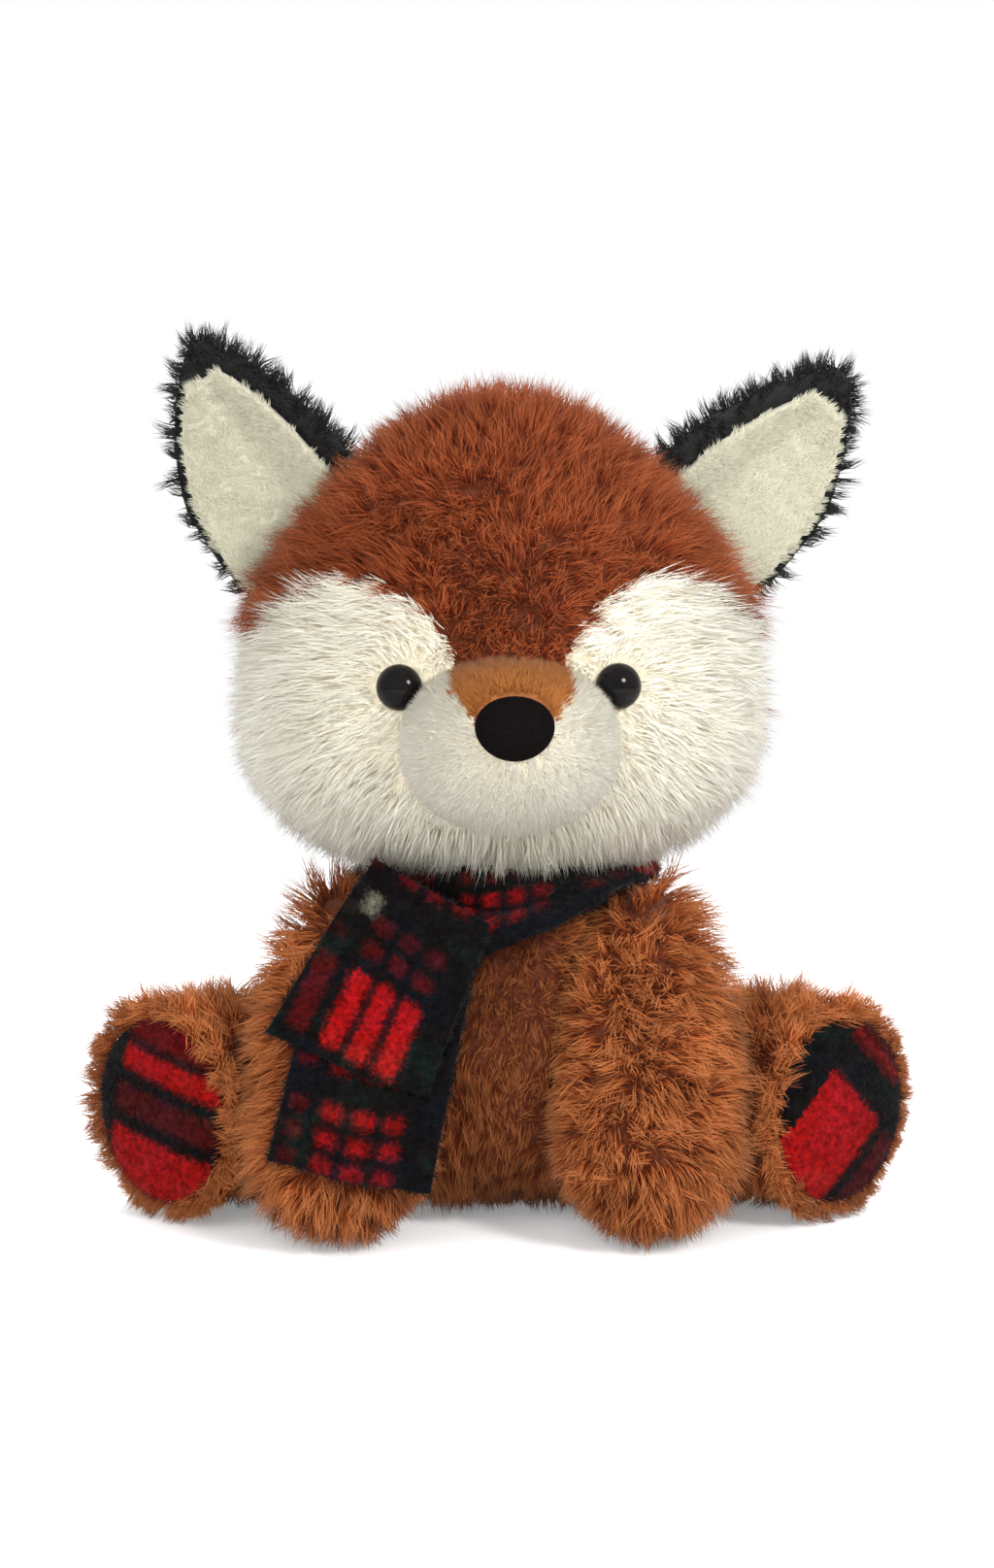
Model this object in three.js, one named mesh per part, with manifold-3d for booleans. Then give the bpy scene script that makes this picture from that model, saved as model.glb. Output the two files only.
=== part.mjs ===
// A seated plush fox in a tartan scarf: sewn covers, stuffing, a pellet bag and safety fittings.
// Millimetres. The fox faces -Y and sits on z = 0, and its own left side is at +X.
// A long-pile cover is modelled out to the mean height of its pile.
import * as THREE from 'three';
import { mergeVertices } from 'three/addons/utils/BufferGeometryUtils.js';
import Module from 'manifold-3d';

const wasm = await Module();
wasm.setup();

// Sizes that every piece shares
const gap = 0.3;
const pile = 10;
const shortPile = 3;
const pressed = 0.5;
const overrun = 30;
const weld = 0.0001;
const coarse = 2 / 3;
const seamOpening = 7;
const openingAround = 8;
const seatLevel = 34;
const pawLevel = 33;
const degree = Math.PI / 180;

// A swelling form is a stack of ellipses. It is widest at its own level, closes up and down
// by its own powers, and leans by so much x and y for each unit of height.
const body = {
  at: new THREE.Vector3(0, 4, seatLevel),
  halfWidth: 50, halfDepth: 46, up: 80, down: seatLevel + pressed,
  upPower: 1.7, downPower: 2.8, around: 22, levels: 11,
};
const head = {
  at: new THREE.Vector3(0, -2, 136.5),
  halfWidth: 71, halfDepth: 56, up: 87, down: 42,
  upPower: 1.45, downPower: 2.7, around: 26, levels: 12,
};
// How far the face's pieces lie above the head's widest level
const faceLevels = { muzzle: -1, eyes: 13, nose: 6.5 };
const muzzle = {
  at: new THREE.Vector3(0, -54, head.at.z + faceLevels.muzzle),
  halfWidth: 28.5, halfDepth: 27, up: 22.5, down: 23.5,
  upPower: 2.2, downPower: 2.2, around: 18, levels: 8,
};

// Head panels and fittings
const sideSeamY = 8;
const neckOpening = 20;
const headYaw = 2.5;
const cheekOutlineShares = [
  [0.02, -0.12], [0.17, 0.12], [0.22, 0.26], [0.32, 0.38],
  [0.46, 0.45], [0.62, 0.46], [0.78, 0.38], [0.93, 0.26], [1.2, 0.12],
];
const bridgeOutlineShares = [[0.3, 0.3], [0.54, 0.68], [0.54, 1.2], [0.45, 1.6]];
const shankRadius = 2;
const shankTip = 1.5;
const eye = {
  spread: 29.5, level: head.at.z + faceLevels.eyes, radius: 6, dome: 5, rim: 0.8, sink: 3.5, yaw: 19,
  around: 14,
};
const nose = {
  level: head.at.z + faceLevels.nose, halfWidth: 10, halfHeight: 8.4, halfDepth: 6.5, power: 2.4,
  around: 16, levels: 8,
};
const washer = { radius: 6, thickness: 1.6, around: 12 };

// Ears: a wide base, a round tip and a hollow front; each leans out by its own angle
const ear = {
  length: 62, embed: 12, halfWidth: 25, thickness: 9, edge: 4, hollow: 6, bow: 3,
  rim: 6.5, lining: 2, turnOut: 12, columns: 6, rows: 8, endAt: 0.9,
};
const earWidthShares = [0.92, 1, 1.01, 0.95, 0.8, 0.54, 0.12];
const earRootShares = { across: 0.92, above: 0.53 };
const earRootY = 2;
const earLean = { left: 44, right: 31 };

// Arms: the front legs, standing on their paws before the belly
const arm = {
  y: -36, level: pawLevel, halfWidth: 28.5, halfDepth: 25, up: 66, down: pawLevel + pressed,
  upPower: 2, downPower: 3.2, leanY: 0.45, around: 16, levels: 9,
};
const armX = { left: 37.5, right: -41 };
const shoulder = { y: -14, level: 78 };

// The flat parting between an arm and the leg beside it: the way that it faces, across and back
const parting = { across: 0.83, back: 0.56 };

// Legs: splayed out, each closed by a fabric sole
const leg = {
  soleX: 95, soleY: -25, splay: 40, halfWidth: 28.5, halfDepth: 31.5, up: 52, down: 21,
  upPower: 2.3, downPower: 5, around: 16, levels: 8, hip: 65,
};
const sole = {
  halfWidth: 22.5, halfDepth: 25, dome: 4, back: 1.5, recess: 1, ledge: 4,
  upPower: 4, downPower: 2, around: 16, levels: 4,
};

// Tail: lies on the floor straight behind the seat
const tail = {
  rootY: 38, halfWidth: 24, halfDepth: 22, up: 54, down: 44,
  upPower: 2, downPower: 2.4, leanX: -0.2, around: 16, levels: 10, tip: 38,
};

// Scarf: fleece wound once round the neck, with both ends hanging over the right arm
const cloth = 2.2;
const scarfDrops = { collar: 9.5, over: 15, under: 15.5 };
const collar = {
  y: 1, top: body.at.z + body.up - scarfDrops.collar, halfWidth: 31, halfDepth: 33, height: 21, flare: 11, bulk: 5.5,
  fold: 1.1, folds: 2, dip: 6, dipTurn: 250, around: 22, steps: 5,
};
const scarfOver = {
  x: -20.5, top: collar.top - scarfDrops.over, slant: 27, length: 46, topWidth: 37, endWidth: 45, layer: 1,
};
const scarfUnder = {
  x: -28, top: scarfOver.top - scarfDrops.under, slant: 13, length: 53, topWidth: 41, endWidth: 43, layer: 0,
};
const drape = { bow: 6, fold: 1.1, foldWidth: 30, soften: 10, lift: 1.2, columns: 7, rows: 8 };

// Pellet bag in the seat
const pouch = { halfWidth: 27, halfDepth: 24, height: 18, sunk: 4, power: 2.6, around: 14, levels: 6 };

// How far the joints turn, in degrees, and the steps that their clearances are cut in.
// The scarf ends lie on the right arm and lift with it, about a line under the collar.
const range = { neck: 15, armLeft: 45, armRight: 20, leg: 15, ear: 10, tail: 15 };
const step = 12;
const turningRoom = 0.4;

// A closed geometry becomes a solid.
function solid(geometry) {
  geometry.deleteAttribute('normal');
  geometry.deleteAttribute('uv');
  const merged = mergeVertices(geometry, weld);
  return new wasm.Manifold(new wasm.Mesh({
    numProp: 3,
    vertProperties: merged.attributes.position.array,
    triVerts: new Uint32Array(merged.index.array),
  }));
}

function joined(solids) {
  return solids.reduce((sum, one) => sum.add(one));
}

function largest(one) {
  return one.decompose().reduce((a, b) => (b.volume() > a.volume() ? b : a));
}

// The share of its full width that a form has at a height above its widest level
function fullness(form, rise, grow = 0) {
  const reach = (rise < 0 ? form.down : form.up) + grow;
  const power = rise < 0 ? form.downPower : form.upPower;
  return Math.sqrt(Math.max(0, 1 - Math.abs(rise / reach) ** power));
}

function swell(form, grow = 0, fineness = 1) {
  const profile = [];
  const levels = Math.round(form.levels * fineness);
  for (let i = 0; i <= levels; i += 1) {
    const share = Math.sin(Math.PI * (i / levels - 1 / 2));
    const rise = share * ((share < 0 ? form.down : form.up) + grow);
    const atEnd = i === 0 || i === levels;
    profile.push(new THREE.Vector2(atEnd ? 0 : fullness(form, rise, grow), rise));
  }
  const shape = new THREE.LatheGeometry(profile, Math.round(form.around * fineness));
  shape.rotateX(Math.PI / 2);
  shape.scale(form.halfWidth + grow, form.halfDepth + grow, 1);
  const lean = new THREE.Matrix4().makeShear(0, 0, 0, 0, form.leanX ?? 0, form.leanY ?? 0);
  shape.applyMatrix4(lean);
  if (form.turn) {
    shape.applyMatrix4(form.turn);
  }
  shape.translate(form.at.x, form.at.y, form.at.z);
  return solid(shape);
}

// The y of an upright form's front over a place in the front view
function frontOf(form, x, z) {
  const rise = z - form.at.z;
  const full = fullness(form, rise);
  const side = (x - form.at.x) / Math.max(form.halfWidth * full, weld);
  const depth = form.halfDepth * full * Math.sqrt(Math.max(0, 1 - side * side));
  return form.at.y + rise * (form.leanY ?? 0) - depth;
}

function block(low, high) {
  const size = high.clone().sub(low);
  const shape = new THREE.BoxGeometry(size.x, size.y, size.z);
  const middle = low.clone().add(high).divideScalar(2);
  shape.translate(middle.x, middle.y, middle.z);
  return solid(shape);
}

// A front-view outline swept from a front y to a back y
function prism(points, front, back) {
  const outline = new THREE.Shape(points);
  const shape = new THREE.ExtrudeGeometry(outline, { depth: back - front, bevelEnabled: false });
  shape.rotateX(Math.PI / 2);
  shape.translate(0, back, 0);
  return solid(shape);
}

// A basis whose -Z points along a level direction, with Y up
function facing(direction) {
  const back = direction.clone().negate();
  const up = new THREE.Vector3(0, 0, 1);
  return new THREE.Matrix4().makeBasis(up.clone().cross(back), up, back);
}

// An oval bar between two points
function bar(from, to, halfWidth, halfHeight, around) {
  const along = to.clone().sub(from);
  const shape = new THREE.CylinderGeometry(1, 1, along.length(), around);
  shape.rotateX(Math.PI / 2);
  shape.scale(halfWidth, halfHeight, 1);
  const turn = new THREE.Matrix4().lookAt(to, from, new THREE.Vector3(0, 0, 1));
  if (Math.abs(along.x) + Math.abs(along.y) > weld) {
    shape.applyMatrix4(turn);
  }
  const middle = from.clone().add(to).divideScalar(2);
  shape.translate(middle.x, middle.y, middle.z);
  return solid(shape);
}

// A profile of radius and depth turned about an axis that starts at a place and points inward
function turning(profile, place, yaw, around) {
  const shape = new THREE.LatheGeometry(profile.map(([r, depth]) => new THREE.Vector2(r, depth)), around);
  shape.rotateZ(yaw * degree);
  shape.translate(place.x, place.y, place.z);
  return solid(shape);
}

// A grid slab: a box whose vertices follow a rule of their shares across, along and to the front
function slab(columns, rows, place) {
  const shape = new THREE.BoxGeometry(2, 1, 1, columns, rows, 1);
  const spots = shape.attributes.position;
  for (let i = 0; i < spots.count; i += 1) {
    const spot = place(spots.getX(i), spots.getY(i) + 1 / 2, spots.getZ(i) + 1 / 2);
    spots.setXYZ(i, spot.x, spot.y, spot.z);
  }
  return solid(shape);
}

function shareAt(shares, along) {
  const place = Math.min(Math.max(along, 0), 1) * (shares.length - 1);
  const low = Math.min(Math.floor(place), shares.length - 2);
  return THREE.MathUtils.lerp(shares[low], shares[low + 1], place - low);
}

// Everything that a neighbour passes through as it turns about an axis through a point.
// Away from rest it is grown a little more, for the angles between the steps.
function swept(neighbour, grow, axis, point, from, to) {
  const steps = Math.ceil(Math.abs(to - from) / step);
  const stops = [neighbour(grow)];
  for (let i = 0; i <= steps; i += 1) {
    const angle = from + ((to - from) * i) / steps;
    const turn = new THREE.Matrix4().makeTranslation(point);
    turn.multiply(new THREE.Matrix4().makeRotationAxis(axis, angle * degree));
    turn.multiply(new THREE.Matrix4().makeTranslation(point.clone().negate()));
    if (angle !== 0) {
      stops.push(neighbour(grow + turningRoom).transform(turn.elements));
    }
  }
  return joined(stops);
}

// Points moved to their right-hand side, seen along the line
function inset(points, distance) {
  return points.map((point, i) => {
    const before = points[Math.max(i - 1, 0)];
    const after = points[Math.min(i + 1, points.length - 1)];
    const along = after.clone().sub(before).normalize();
    return new THREE.Vector2(point.x + along.y * distance, point.y - along.x * distance);
  });
}

const xAxis = new THREE.Vector3(1, 0, 0);
const zAxis = new THREE.Vector3(0, 0, 1);
const neckPoint = new THREE.Vector3(0, head.at.y, body.at.z + body.up);
const wide = 300;
const belowFloor = block(new THREE.Vector3(-wide, -wide, -overrun), new THREE.Vector3(wide, wide, 0));

// The round space under which the head can turn on its neck
function headSpace(grow) {
  return swell({ ...head, halfDepth: head.halfWidth }, grow);
}

// The head is built looking straight ahead, then turned with its ears a little to its own left.
function turned(pieces) {
  const about = neckPoint.clone().setZ(0);
  const turn = new THREE.Matrix4().makeTranslation(about);
  turn.multiply(new THREE.Matrix4().makeRotationZ(headYaw * degree));
  turn.multiply(new THREE.Matrix4().makeTranslation(about.negate()));
  return Object.fromEntries(Object.entries(pieces).map(([name, one]) => [name, one.transform(turn.elements)]));
}

// Neck openings of the head and the body, one above the other
const neckHole = bar(
  neckPoint.clone().setZ(body.at.z),
  neckPoint.clone().setZ(head.at.z),
  neckOpening, neckOpening, openingAround,
);

// Head: the crown and both cheeks are panels of one thick shell, open at the neck and the muzzle
function cheekSpace(side, shrink) {
  const points = cheekOutlineShares.map(([across, above]) => new THREE.Vector2(
    across * head.halfWidth,
    head.at.z + above * head.up,
  ));
  const curve = inset(new THREE.SplineCurve(points).getPoints(2 * points.length), shrink);
  const bottom = head.at.z - head.down - overrun;
  const outline = [
    new THREE.Vector2(gap / 2, bottom),
    new THREE.Vector2(gap / 2, curve[0].y),
    ...curve,
    new THREE.Vector2(curve[curve.length - 1].x, bottom),
  ].map((point) => new THREE.Vector2(side * point.x, point.y));
  return prism(outline, head.at.y - head.halfDepth - overrun, sideSeamY - shrink);
}

function eyePlace(side) {
  const surface = frontOf(head, eye.spread, eye.level);
  const yaw = side * eye.yaw * degree;
  return new THREE.Vector3(
    side * eye.spread - eye.sink * Math.sin(yaw),
    surface + eye.sink * Math.cos(yaw),
    eye.level,
  );
}

const eyeShank = pile - eye.sink + gap + washer.thickness + gap + shankTip;

function eyeSolid(side) {
  const profile = [];
  const arcSteps = 5;
  for (let i = 0; i <= arcSteps; i += 1) {
    const turn = (Math.PI / 2) * (i / arcSteps);
    profile.push([i === 0 ? 0 : eye.radius * Math.sin(turn), -eye.dome * Math.cos(turn)]);
  }
  profile.push([eye.radius, eye.rim], [shankRadius, eye.rim], [shankRadius, eyeShank], [0, eyeShank]);
  return turning(profile, eyePlace(side), side * eye.yaw, eye.around);
}

// The way through a cover for a fitting: a seat for its head, a hole for its shank and a seat
// for the washer behind
function fittingHole(place, yaw, seatRadius, seatDepth, washerDepth) {
  const narrow = shankRadius + gap;
  const behind = washer.radius + gap;
  const profile = [
    [0, -overrun], [seatRadius, -overrun], [seatRadius, seatDepth], [narrow, seatDepth],
    [narrow, washerDepth - gap], [behind, washerDepth - gap], [behind, overrun], [0, overrun],
  ];
  return turning(profile, place, yaw, eye.around);
}

// A lock washer on a shank, and the pocket that it makes in the stuffing
function washerSolid(place, yaw, depth) {
  const hole = shankRadius + gap;
  const end = depth + washer.thickness;
  const profile = [[hole, depth], [washer.radius, depth], [washer.radius, end], [hole, end], [hole, depth]];
  return turning(profile, place, yaw, washer.around);
}

function washerPocket(place, yaw, depth) {
  const radius = washer.radius + gap;
  const end = depth + washer.thickness + gap + shankTip + gap;
  const profile = [[0, depth - overrun], [radius, depth - overrun], [radius, end], [0, end]];
  return turning(profile, place, yaw, washer.around);
}

const eyeWasherDepth = pile - eye.sink + gap;
const nosePlace = new THREE.Vector3(0, frontOf(muzzle, 0, nose.level), nose.level);
const noseWasherDepth = 2 * shortPile + gap;
const noseShank = noseWasherDepth + washer.thickness + gap + shankTip;

function noseShankBar() {
  const start = nosePlace.clone().setY(nosePlace.y - nose.halfDepth / 2);
  const end = nosePlace.clone().setY(nosePlace.y + noseShank);
  return bar(start, end, shankRadius, shankRadius, eye.around);
}

function headPieces() {
  const shell = swell(head).subtract(swell(head, -pile, coarse));
  const muzzleInside = swell(muzzle, -shortPile);
  const panels = shell.subtract(muzzleInside).subtract(neckHole);
  const eyeHole = (side) => fittingHole(
    eyePlace(side), side * eye.yaw, eye.radius + gap, eye.rim + gap, eyeWasherDepth,
  );
  const sockets = eyeHole(1).add(eyeHole(-1));
  const noseHole = fittingHole(nosePlace, 0, shankRadius + gap, -gap, noseWasherDepth);
  const crown = largest(panels.subtract(cheekSpace(1, 0)).subtract(cheekSpace(-1, 0)));
  const noseForm = {
    at: nosePlace, halfWidth: nose.halfWidth, halfDepth: nose.halfDepth,
    up: nose.halfHeight, down: nose.halfHeight,
    upPower: nose.power, downPower: nose.power, around: nose.around, levels: nose.levels,
  };
  const noseBall = swell(noseForm).subtract(swell(muzzle, gap));
  const snout = swell(muzzle).subtract(muzzleInside).subtract(swell(head, gap))
    .subtract(noseHole);
  const bridgeSide = bridgeOutlineShares.map(([across, above]) => new THREE.Vector2(
    across * muzzle.halfWidth,
    muzzle.at.z + above * muzzle.up,
  ));
  const bridgeOutline = (shrink) => {
    const rightSide = inset(bridgeSide, -shrink);
    const leftSide = rightSide.map((point) => new THREE.Vector2(-point.x, point.y)).reverse();
    return [...rightSide, ...leftSide];
  };
  const muzzleFront = muzzle.at.y - muzzle.halfDepth - overrun;
  const bridgeSpace = (shrink) => prism(bridgeOutline(shrink), muzzleFront, head.at.y);
  const stuffing = swell(head, -pile - gap, coarse).add(swell(muzzle, -shortPile - gap))
    .subtract(washerPocket(eyePlace(1), eye.yaw, eyeWasherDepth))
    .subtract(washerPocket(eyePlace(-1), -eye.yaw, eyeWasherDepth))
    .subtract(washerPocket(nosePlace, 0, noseWasherDepth));
  return {
    head_crown: crown,
    head_cheek_left: largest(panels.intersect(cheekSpace(1, gap)).subtract(sockets)),
    head_cheek_right: largest(panels.intersect(cheekSpace(-1, gap)).subtract(sockets)),
    muzzle: largest(snout.subtract(bridgeSpace(0))),
    muzzle_bridge: largest(snout.intersect(bridgeSpace(gap))),
    nose: noseBall.add(noseShankBar()),
    nose_washer: washerSolid(nosePlace, 0, noseWasherDepth),
    eye_left: eyeSolid(1),
    eye_right: eyeSolid(-1),
    eye_washer_left: washerSolid(eyePlace(1), eye.yaw, eyeWasherDepth),
    eye_washer_right: washerSolid(eyePlace(-1), -eye.yaw, eyeWasherDepth),
    head_stuffing: stuffing,
  };
}

// Ears: a thick dark back with a thin lining laid in its hollow front
function earPoint(side) {
  const rise = earRootShares.above * head.up;
  const across = earRootShares.across * head.halfWidth * fullness(head, rise);
  return new THREE.Vector3(side * across, earRootY, head.at.z + rise);
}

function earTurn(side, lean) {
  const out = new THREE.Matrix4().makeRotationY(side * lean * degree);
  return out.multiply(new THREE.Matrix4().makeRotationZ(side * ear.turnOut * degree));
}

function earPieces(side, lean) {
  const root = earPoint(side);
  const turn = earTurn(side, lean);
  const whole = ear.length + ear.embed;
  const hollowAt = (u, v) => ear.hollow * shareAt(earWidthShares, v) * (1 - u * u);
  const bowAt = (v) => side * ear.bow * Math.sin(Math.PI * v);
  const put = (x, y, z) => new THREE.Vector3(x, y, z).applyMatrix4(turn).add(root);
  const back = slab(ear.columns, ear.rows, (u, v, front) => {
    const half = ear.halfWidth * shareAt(earWidthShares, v);
    const thick = THREE.MathUtils.lerp(ear.thickness, ear.edge, u * u);
    return put(bowAt(v) + u * half, hollowAt(u, v) + (1 - front) * thick, v * whole - ear.embed);
  });
  const lining = slab(ear.columns, ear.rows, (u, v, front) => {
    const along = v * ear.endAt;
    const half = ear.halfWidth * shareAt(earWidthShares, along);
    const across = Math.max(half - ear.rim, ear.rim / 2) / half;
    const y = hollowAt(u * across, along) - 2 * gap - front * ear.lining;
    return put(bowAt(along) + u * across * half, y, along * whole - ear.embed);
  });
  const base = new THREE.Vector3(1, 0, 0).transformDirection(turn);
  const headInWay = swept((grow) => swell(head, grow), gap, base, root, -range.ear, range.ear);
  return { back: largest(back.subtract(headInWay)), lining: largest(lining.subtract(headInWay)) };
}

// Scarf: the collar flares down from under the chin and dips at its front, where the ends leave it
function collarSolid() {
  const ring = [];
  const half = (t) => (collar.bulk / 2) * (1 / 3 + (2 / 3) * Math.sin(Math.PI * t));
  const radius = (t) => collar.halfWidth + collar.flare * t;
  for (let i = 0; i <= collar.steps; i += 1) {
    const t = 1 - i / collar.steps;
    const fold = collar.fold * Math.sin(2 * Math.PI * collar.folds * t);
    ring.push(new THREE.Vector2(radius(t) + half(t) + fold, -collar.height * t));
  }
  for (let i = 0; i <= collar.steps; i += 1) {
    const t = i / collar.steps;
    ring.push(new THREE.Vector2(radius(t) - half(t), -collar.height * t));
  }
  ring.push(ring[0].clone());
  const shape = new THREE.LatheGeometry(ring, collar.around);
  shape.rotateX(Math.PI / 2);
  const spots = shape.attributes.position;
  for (let i = 0; i < spots.count; i += 1) {
    const turn = Math.atan2(spots.getY(i), spots.getX(i)) - collar.dipTurn * degree;
    const dip = (collar.dip * Math.max(0, Math.cos(turn)) ** 2 * -spots.getZ(i)) / collar.height;
    spots.setZ(i, collar.top + spots.getZ(i) - dip);
  }
  shape.scale(1, collar.halfDepth / collar.halfWidth, 1);
  shape.translate(0, collar.y, 0);
  return solid(shape);
}

// The plain cone that the collar fills, as the arms meet it
function collarSpace(grow) {
  const outside = collar.bulk / 2 + collar.fold + grow;
  const low = collar.height + collar.dip + grow;
  const spread = (collar.flare * low) / collar.height;
  const ends = [
    new THREE.Vector2(0, -low),
    new THREE.Vector2(collar.halfWidth + spread + outside, -low),
    new THREE.Vector2(collar.halfWidth + outside, grow),
    new THREE.Vector2(0, grow),
  ];
  const shape = new THREE.LatheGeometry(ends, collar.around);
  shape.rotateX(Math.PI / 2);
  shape.scale(1, collar.halfDepth / collar.halfWidth, 1);
  shape.translate(0, collar.y, collar.top);
  return solid(shape);
}

const rightArmForm = { ...arm, at: new THREE.Vector3(armX.right, arm.y, arm.level) };
const leftArmForm = { ...arm, at: new THREE.Vector3(armX.left, arm.y, arm.level) };

function softMin(a, b, width) {
  const near = Math.max(width - Math.abs(a - b), 0) / width;
  return Math.min(a, b) - (near * near * width) / 4;
}

// The y of the back of a scarf end: it hangs from the collar's front and lies down the arm
function drapeY(x, z, layer) {
  const hem = collar.halfWidth + collar.flare + collar.bulk / 2 + collar.fold;
  const ahead = Math.sqrt(Math.max(0, hem * hem - x * x));
  const collarFront = collar.y - (ahead * collar.halfDepth) / collar.halfWidth;
  const side = (2 * (x - armX.right)) / scarfOver.endWidth;
  const armFront = frontOf(rightArmForm, armX.right, z) + drape.bow * side * side;
  const fold = drape.fold * Math.sin((2 * Math.PI * x) / drape.foldWidth);
  const lie = softMin(armFront, collarFront, drape.soften);
  return lie - drape.fold - gap - layer * (cloth + drape.lift) + fold;
}

function scarfEnd(end) {
  const down = new THREE.Vector2(-Math.sin(end.slant * degree), -Math.cos(end.slant * degree));
  const across = new THREE.Vector2(-down.y, down.x);
  return slab(drape.columns, drape.rows, (u, v, front) => {
    const half = THREE.MathUtils.lerp(end.endWidth, end.topWidth, v) / 2;
    const fall = (1 - v) * end.length;
    const x = end.x + down.x * fall + across.x * u * half;
    const z = end.top + down.y * fall + across.y * u * half;
    return new THREE.Vector3(x, drapeY(x, z, end.layer) - front * cloth, z);
  });
}

// A cover is a form less its neighbours and their paths, hollowed by its pile
function coverOf(form, neighbours, inWay, opening) {
  const outer = swell(form).subtract(inWay).subtract(belowFloor);
  const hollow = swell(form, -pile, coarse).subtract(neighbours(gap + pile));
  return largest(outer.subtract(hollow).subtract(opening));
}

// Stuffing fills the hollow of its cover
function stuffingOf(form, neighbours, inWay) {
  return swell(form, -pile - gap, coarse).subtract(neighbours(gap + pile + gap)).subtract(inWay);
}

function armPieces(form, lift) {
  const joint = new THREE.Vector3(form.at.x, shoulder.y, shoulder.level);
  const neighbours = (grow) => swell(body, grow).add(headSpace(grow)).add(collarSpace(grow));
  const inWay = swept(neighbours, gap, xAxis, joint, 0, lift);
  const level = form.at.z;
  const inside = new THREE.Vector3(form.at.x, frontOf(form, form.at.x, level) + pile, level);
  const inward = new THREE.Vector3(0, body.at.y, inside.z);
  const opening = bar(inside, inward, seamOpening, seamOpening, openingAround);
  return {
    cover: coverOf(form, neighbours, inWay, opening),
    stuffing: largest(stuffingOf(form, neighbours, inWay)),
  };
}

function legForm(side) {
  const out = new THREE.Vector3(side * Math.sin(leg.splay * degree), -Math.cos(leg.splay * degree), 0);
  const end = new THREE.Vector3(side * leg.soleX, leg.soleY, leg.halfDepth - pressed);
  const at = end.clone().addScaledVector(out, -leg.down);
  return { ...leg, at, end, out, turn: facing(out) };
}

// Everything on the arm's side of the parting, which leans as the arm does and just clears it
function partingSpace(form, side, grow) {
  const away = new THREE.Vector3(side * parting.across, parting.back, -parting.back * form.leanY);
  away.normalize();
  const spots = swell(form, gap).getMesh().vertProperties;
  const spot = new THREE.Vector3();
  let reach = -wide;
  for (let i = 0; i < spots.length; i += 3) {
    reach = Math.max(reach, spot.fromArray(spots, i).dot(away));
  }
  const turn = new THREE.Quaternion().setFromUnitVectors(xAxis, away);
  const place = new THREE.Matrix4().compose(
    away.clone().multiplyScalar(reach + grow), turn, new THREE.Vector3(1, 1, 1),
  );
  const half = block(new THREE.Vector3(-wide, -wide, -wide), new THREE.Vector3(0, wide, wide));
  return half.transform(place.elements);
}

function legPieces(side, armSpace) {
  const form = legForm(side);
  const hip = form.end.clone().addScaledVector(form.out, -leg.hip);
  const lift = new THREE.Vector3(form.out.y, -form.out.x, 0);
  const neighbours = (grow) => swell(body, grow).add(armSpace(grow));
  const inWay = swept(neighbours, gap, lift, hip, 0, -range.leg);
  const padAt = form.end.clone().addScaledVector(form.out, -sole.dome - sole.recess);
  const padForm = {
    ...sole, at: padAt, up: sole.back, down: sole.dome, turn: form.turn,
  };
  const padBack = padAt.clone().addScaledVector(form.out, -sole.back);
  const beyond = padAt.clone().addScaledVector(form.out, overrun);
  const inside = padBack.clone().addScaledVector(form.out, -overrun);
  const seat = bar(
    padBack.clone().addScaledVector(form.out, -gap), beyond,
    sole.halfWidth + gap, sole.halfDepth + gap, sole.around,
  );
  const mouthWidth = sole.halfWidth - sole.ledge;
  const mouthHeight = sole.halfDepth - sole.ledge;
  const mouth = bar(inside, beyond, mouthWidth, mouthHeight, sole.around);
  const plugEnd = padBack.clone().addScaledVector(form.out, -gap);
  const plug = bar(inside, plugEnd, mouthWidth - gap, mouthHeight - gap, sole.around);
  return {
    cover: coverOf(form, neighbours, inWay, seat.add(mouth)),
    sole: swell(padForm),
    stuffing: largest(stuffingOf(form, neighbours, inWay).add(plug.subtract(neighbours(gap + pile)))),
  };
}

function tailPieces() {
  const out = new THREE.Vector3(0, 1, 0);
  const at = new THREE.Vector3(0, tail.rootY + tail.up, tail.halfDepth - pressed);
  const form = { ...tail, at, turn: facing(out) };
  const root = new THREE.Vector3(0, tail.rootY, at.z);
  const neighbours = (grow) => swell(body, grow);
  const inWay = swept(neighbours, gap, zAxis, root, -range.tail, range.tail);
  const seamY = at.y + tail.down - tail.tip;
  const behind = block(new THREE.Vector3(-wide, seamY, -wide), new THREE.Vector3(wide, wide, wide));
  const behindSeam = block(new THREE.Vector3(-wide, seamY - gap, -wide), new THREE.Vector3(wide, wide, wide));
  const opening = bar(root, at, seamOpening, seamOpening, openingAround);
  const whole = coverOf(form, neighbours, inWay, opening);
  return {
    tail_cover: largest(whole.subtract(behindSeam)),
    tail_tip: largest(whole.intersect(behind)),
    tail_stuffing: largest(stuffingOf(form, neighbours, inWay)),
  };
}

function bodyPieces() {
  const inside = swell(body, -pile - gap, coarse);
  const pouchForm = {
    ...pouch, up: pouch.height / 2, down: pouch.height / 2, upPower: pouch.power, downPower: pouch.power,
    at: new THREE.Vector3(0, body.at.y, pile + pouch.height / 2 - pouch.sunk),
  };
  return {
    body_cover: coverOf(body, headSpace, headSpace(gap), neckHole),
    body_stuffing: largest(stuffingOf(body, headSpace, headSpace(gap)).subtract(swell(pouchForm, gap))),
    pellet_pouch: swell(pouchForm).intersect(inside),
  };
}

// Assembly: one group for each piece that moves as a whole
const fabric = 0.95;
const gloss = 0.08;
const colours = {
  rust: 0xab6133, white: 0xeee9dc, tan: 0xb57340, black: 0x0b0b0b, cream: 0xe8e6d4,
  tartan: 0x5e0a10, fibre: 0xf2f2ee, plastic: 0xd8d8d4, bag: 0xcfc8b8,
};
const fox = new THREE.Group();
fox.name = 'plush_fox';

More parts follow.
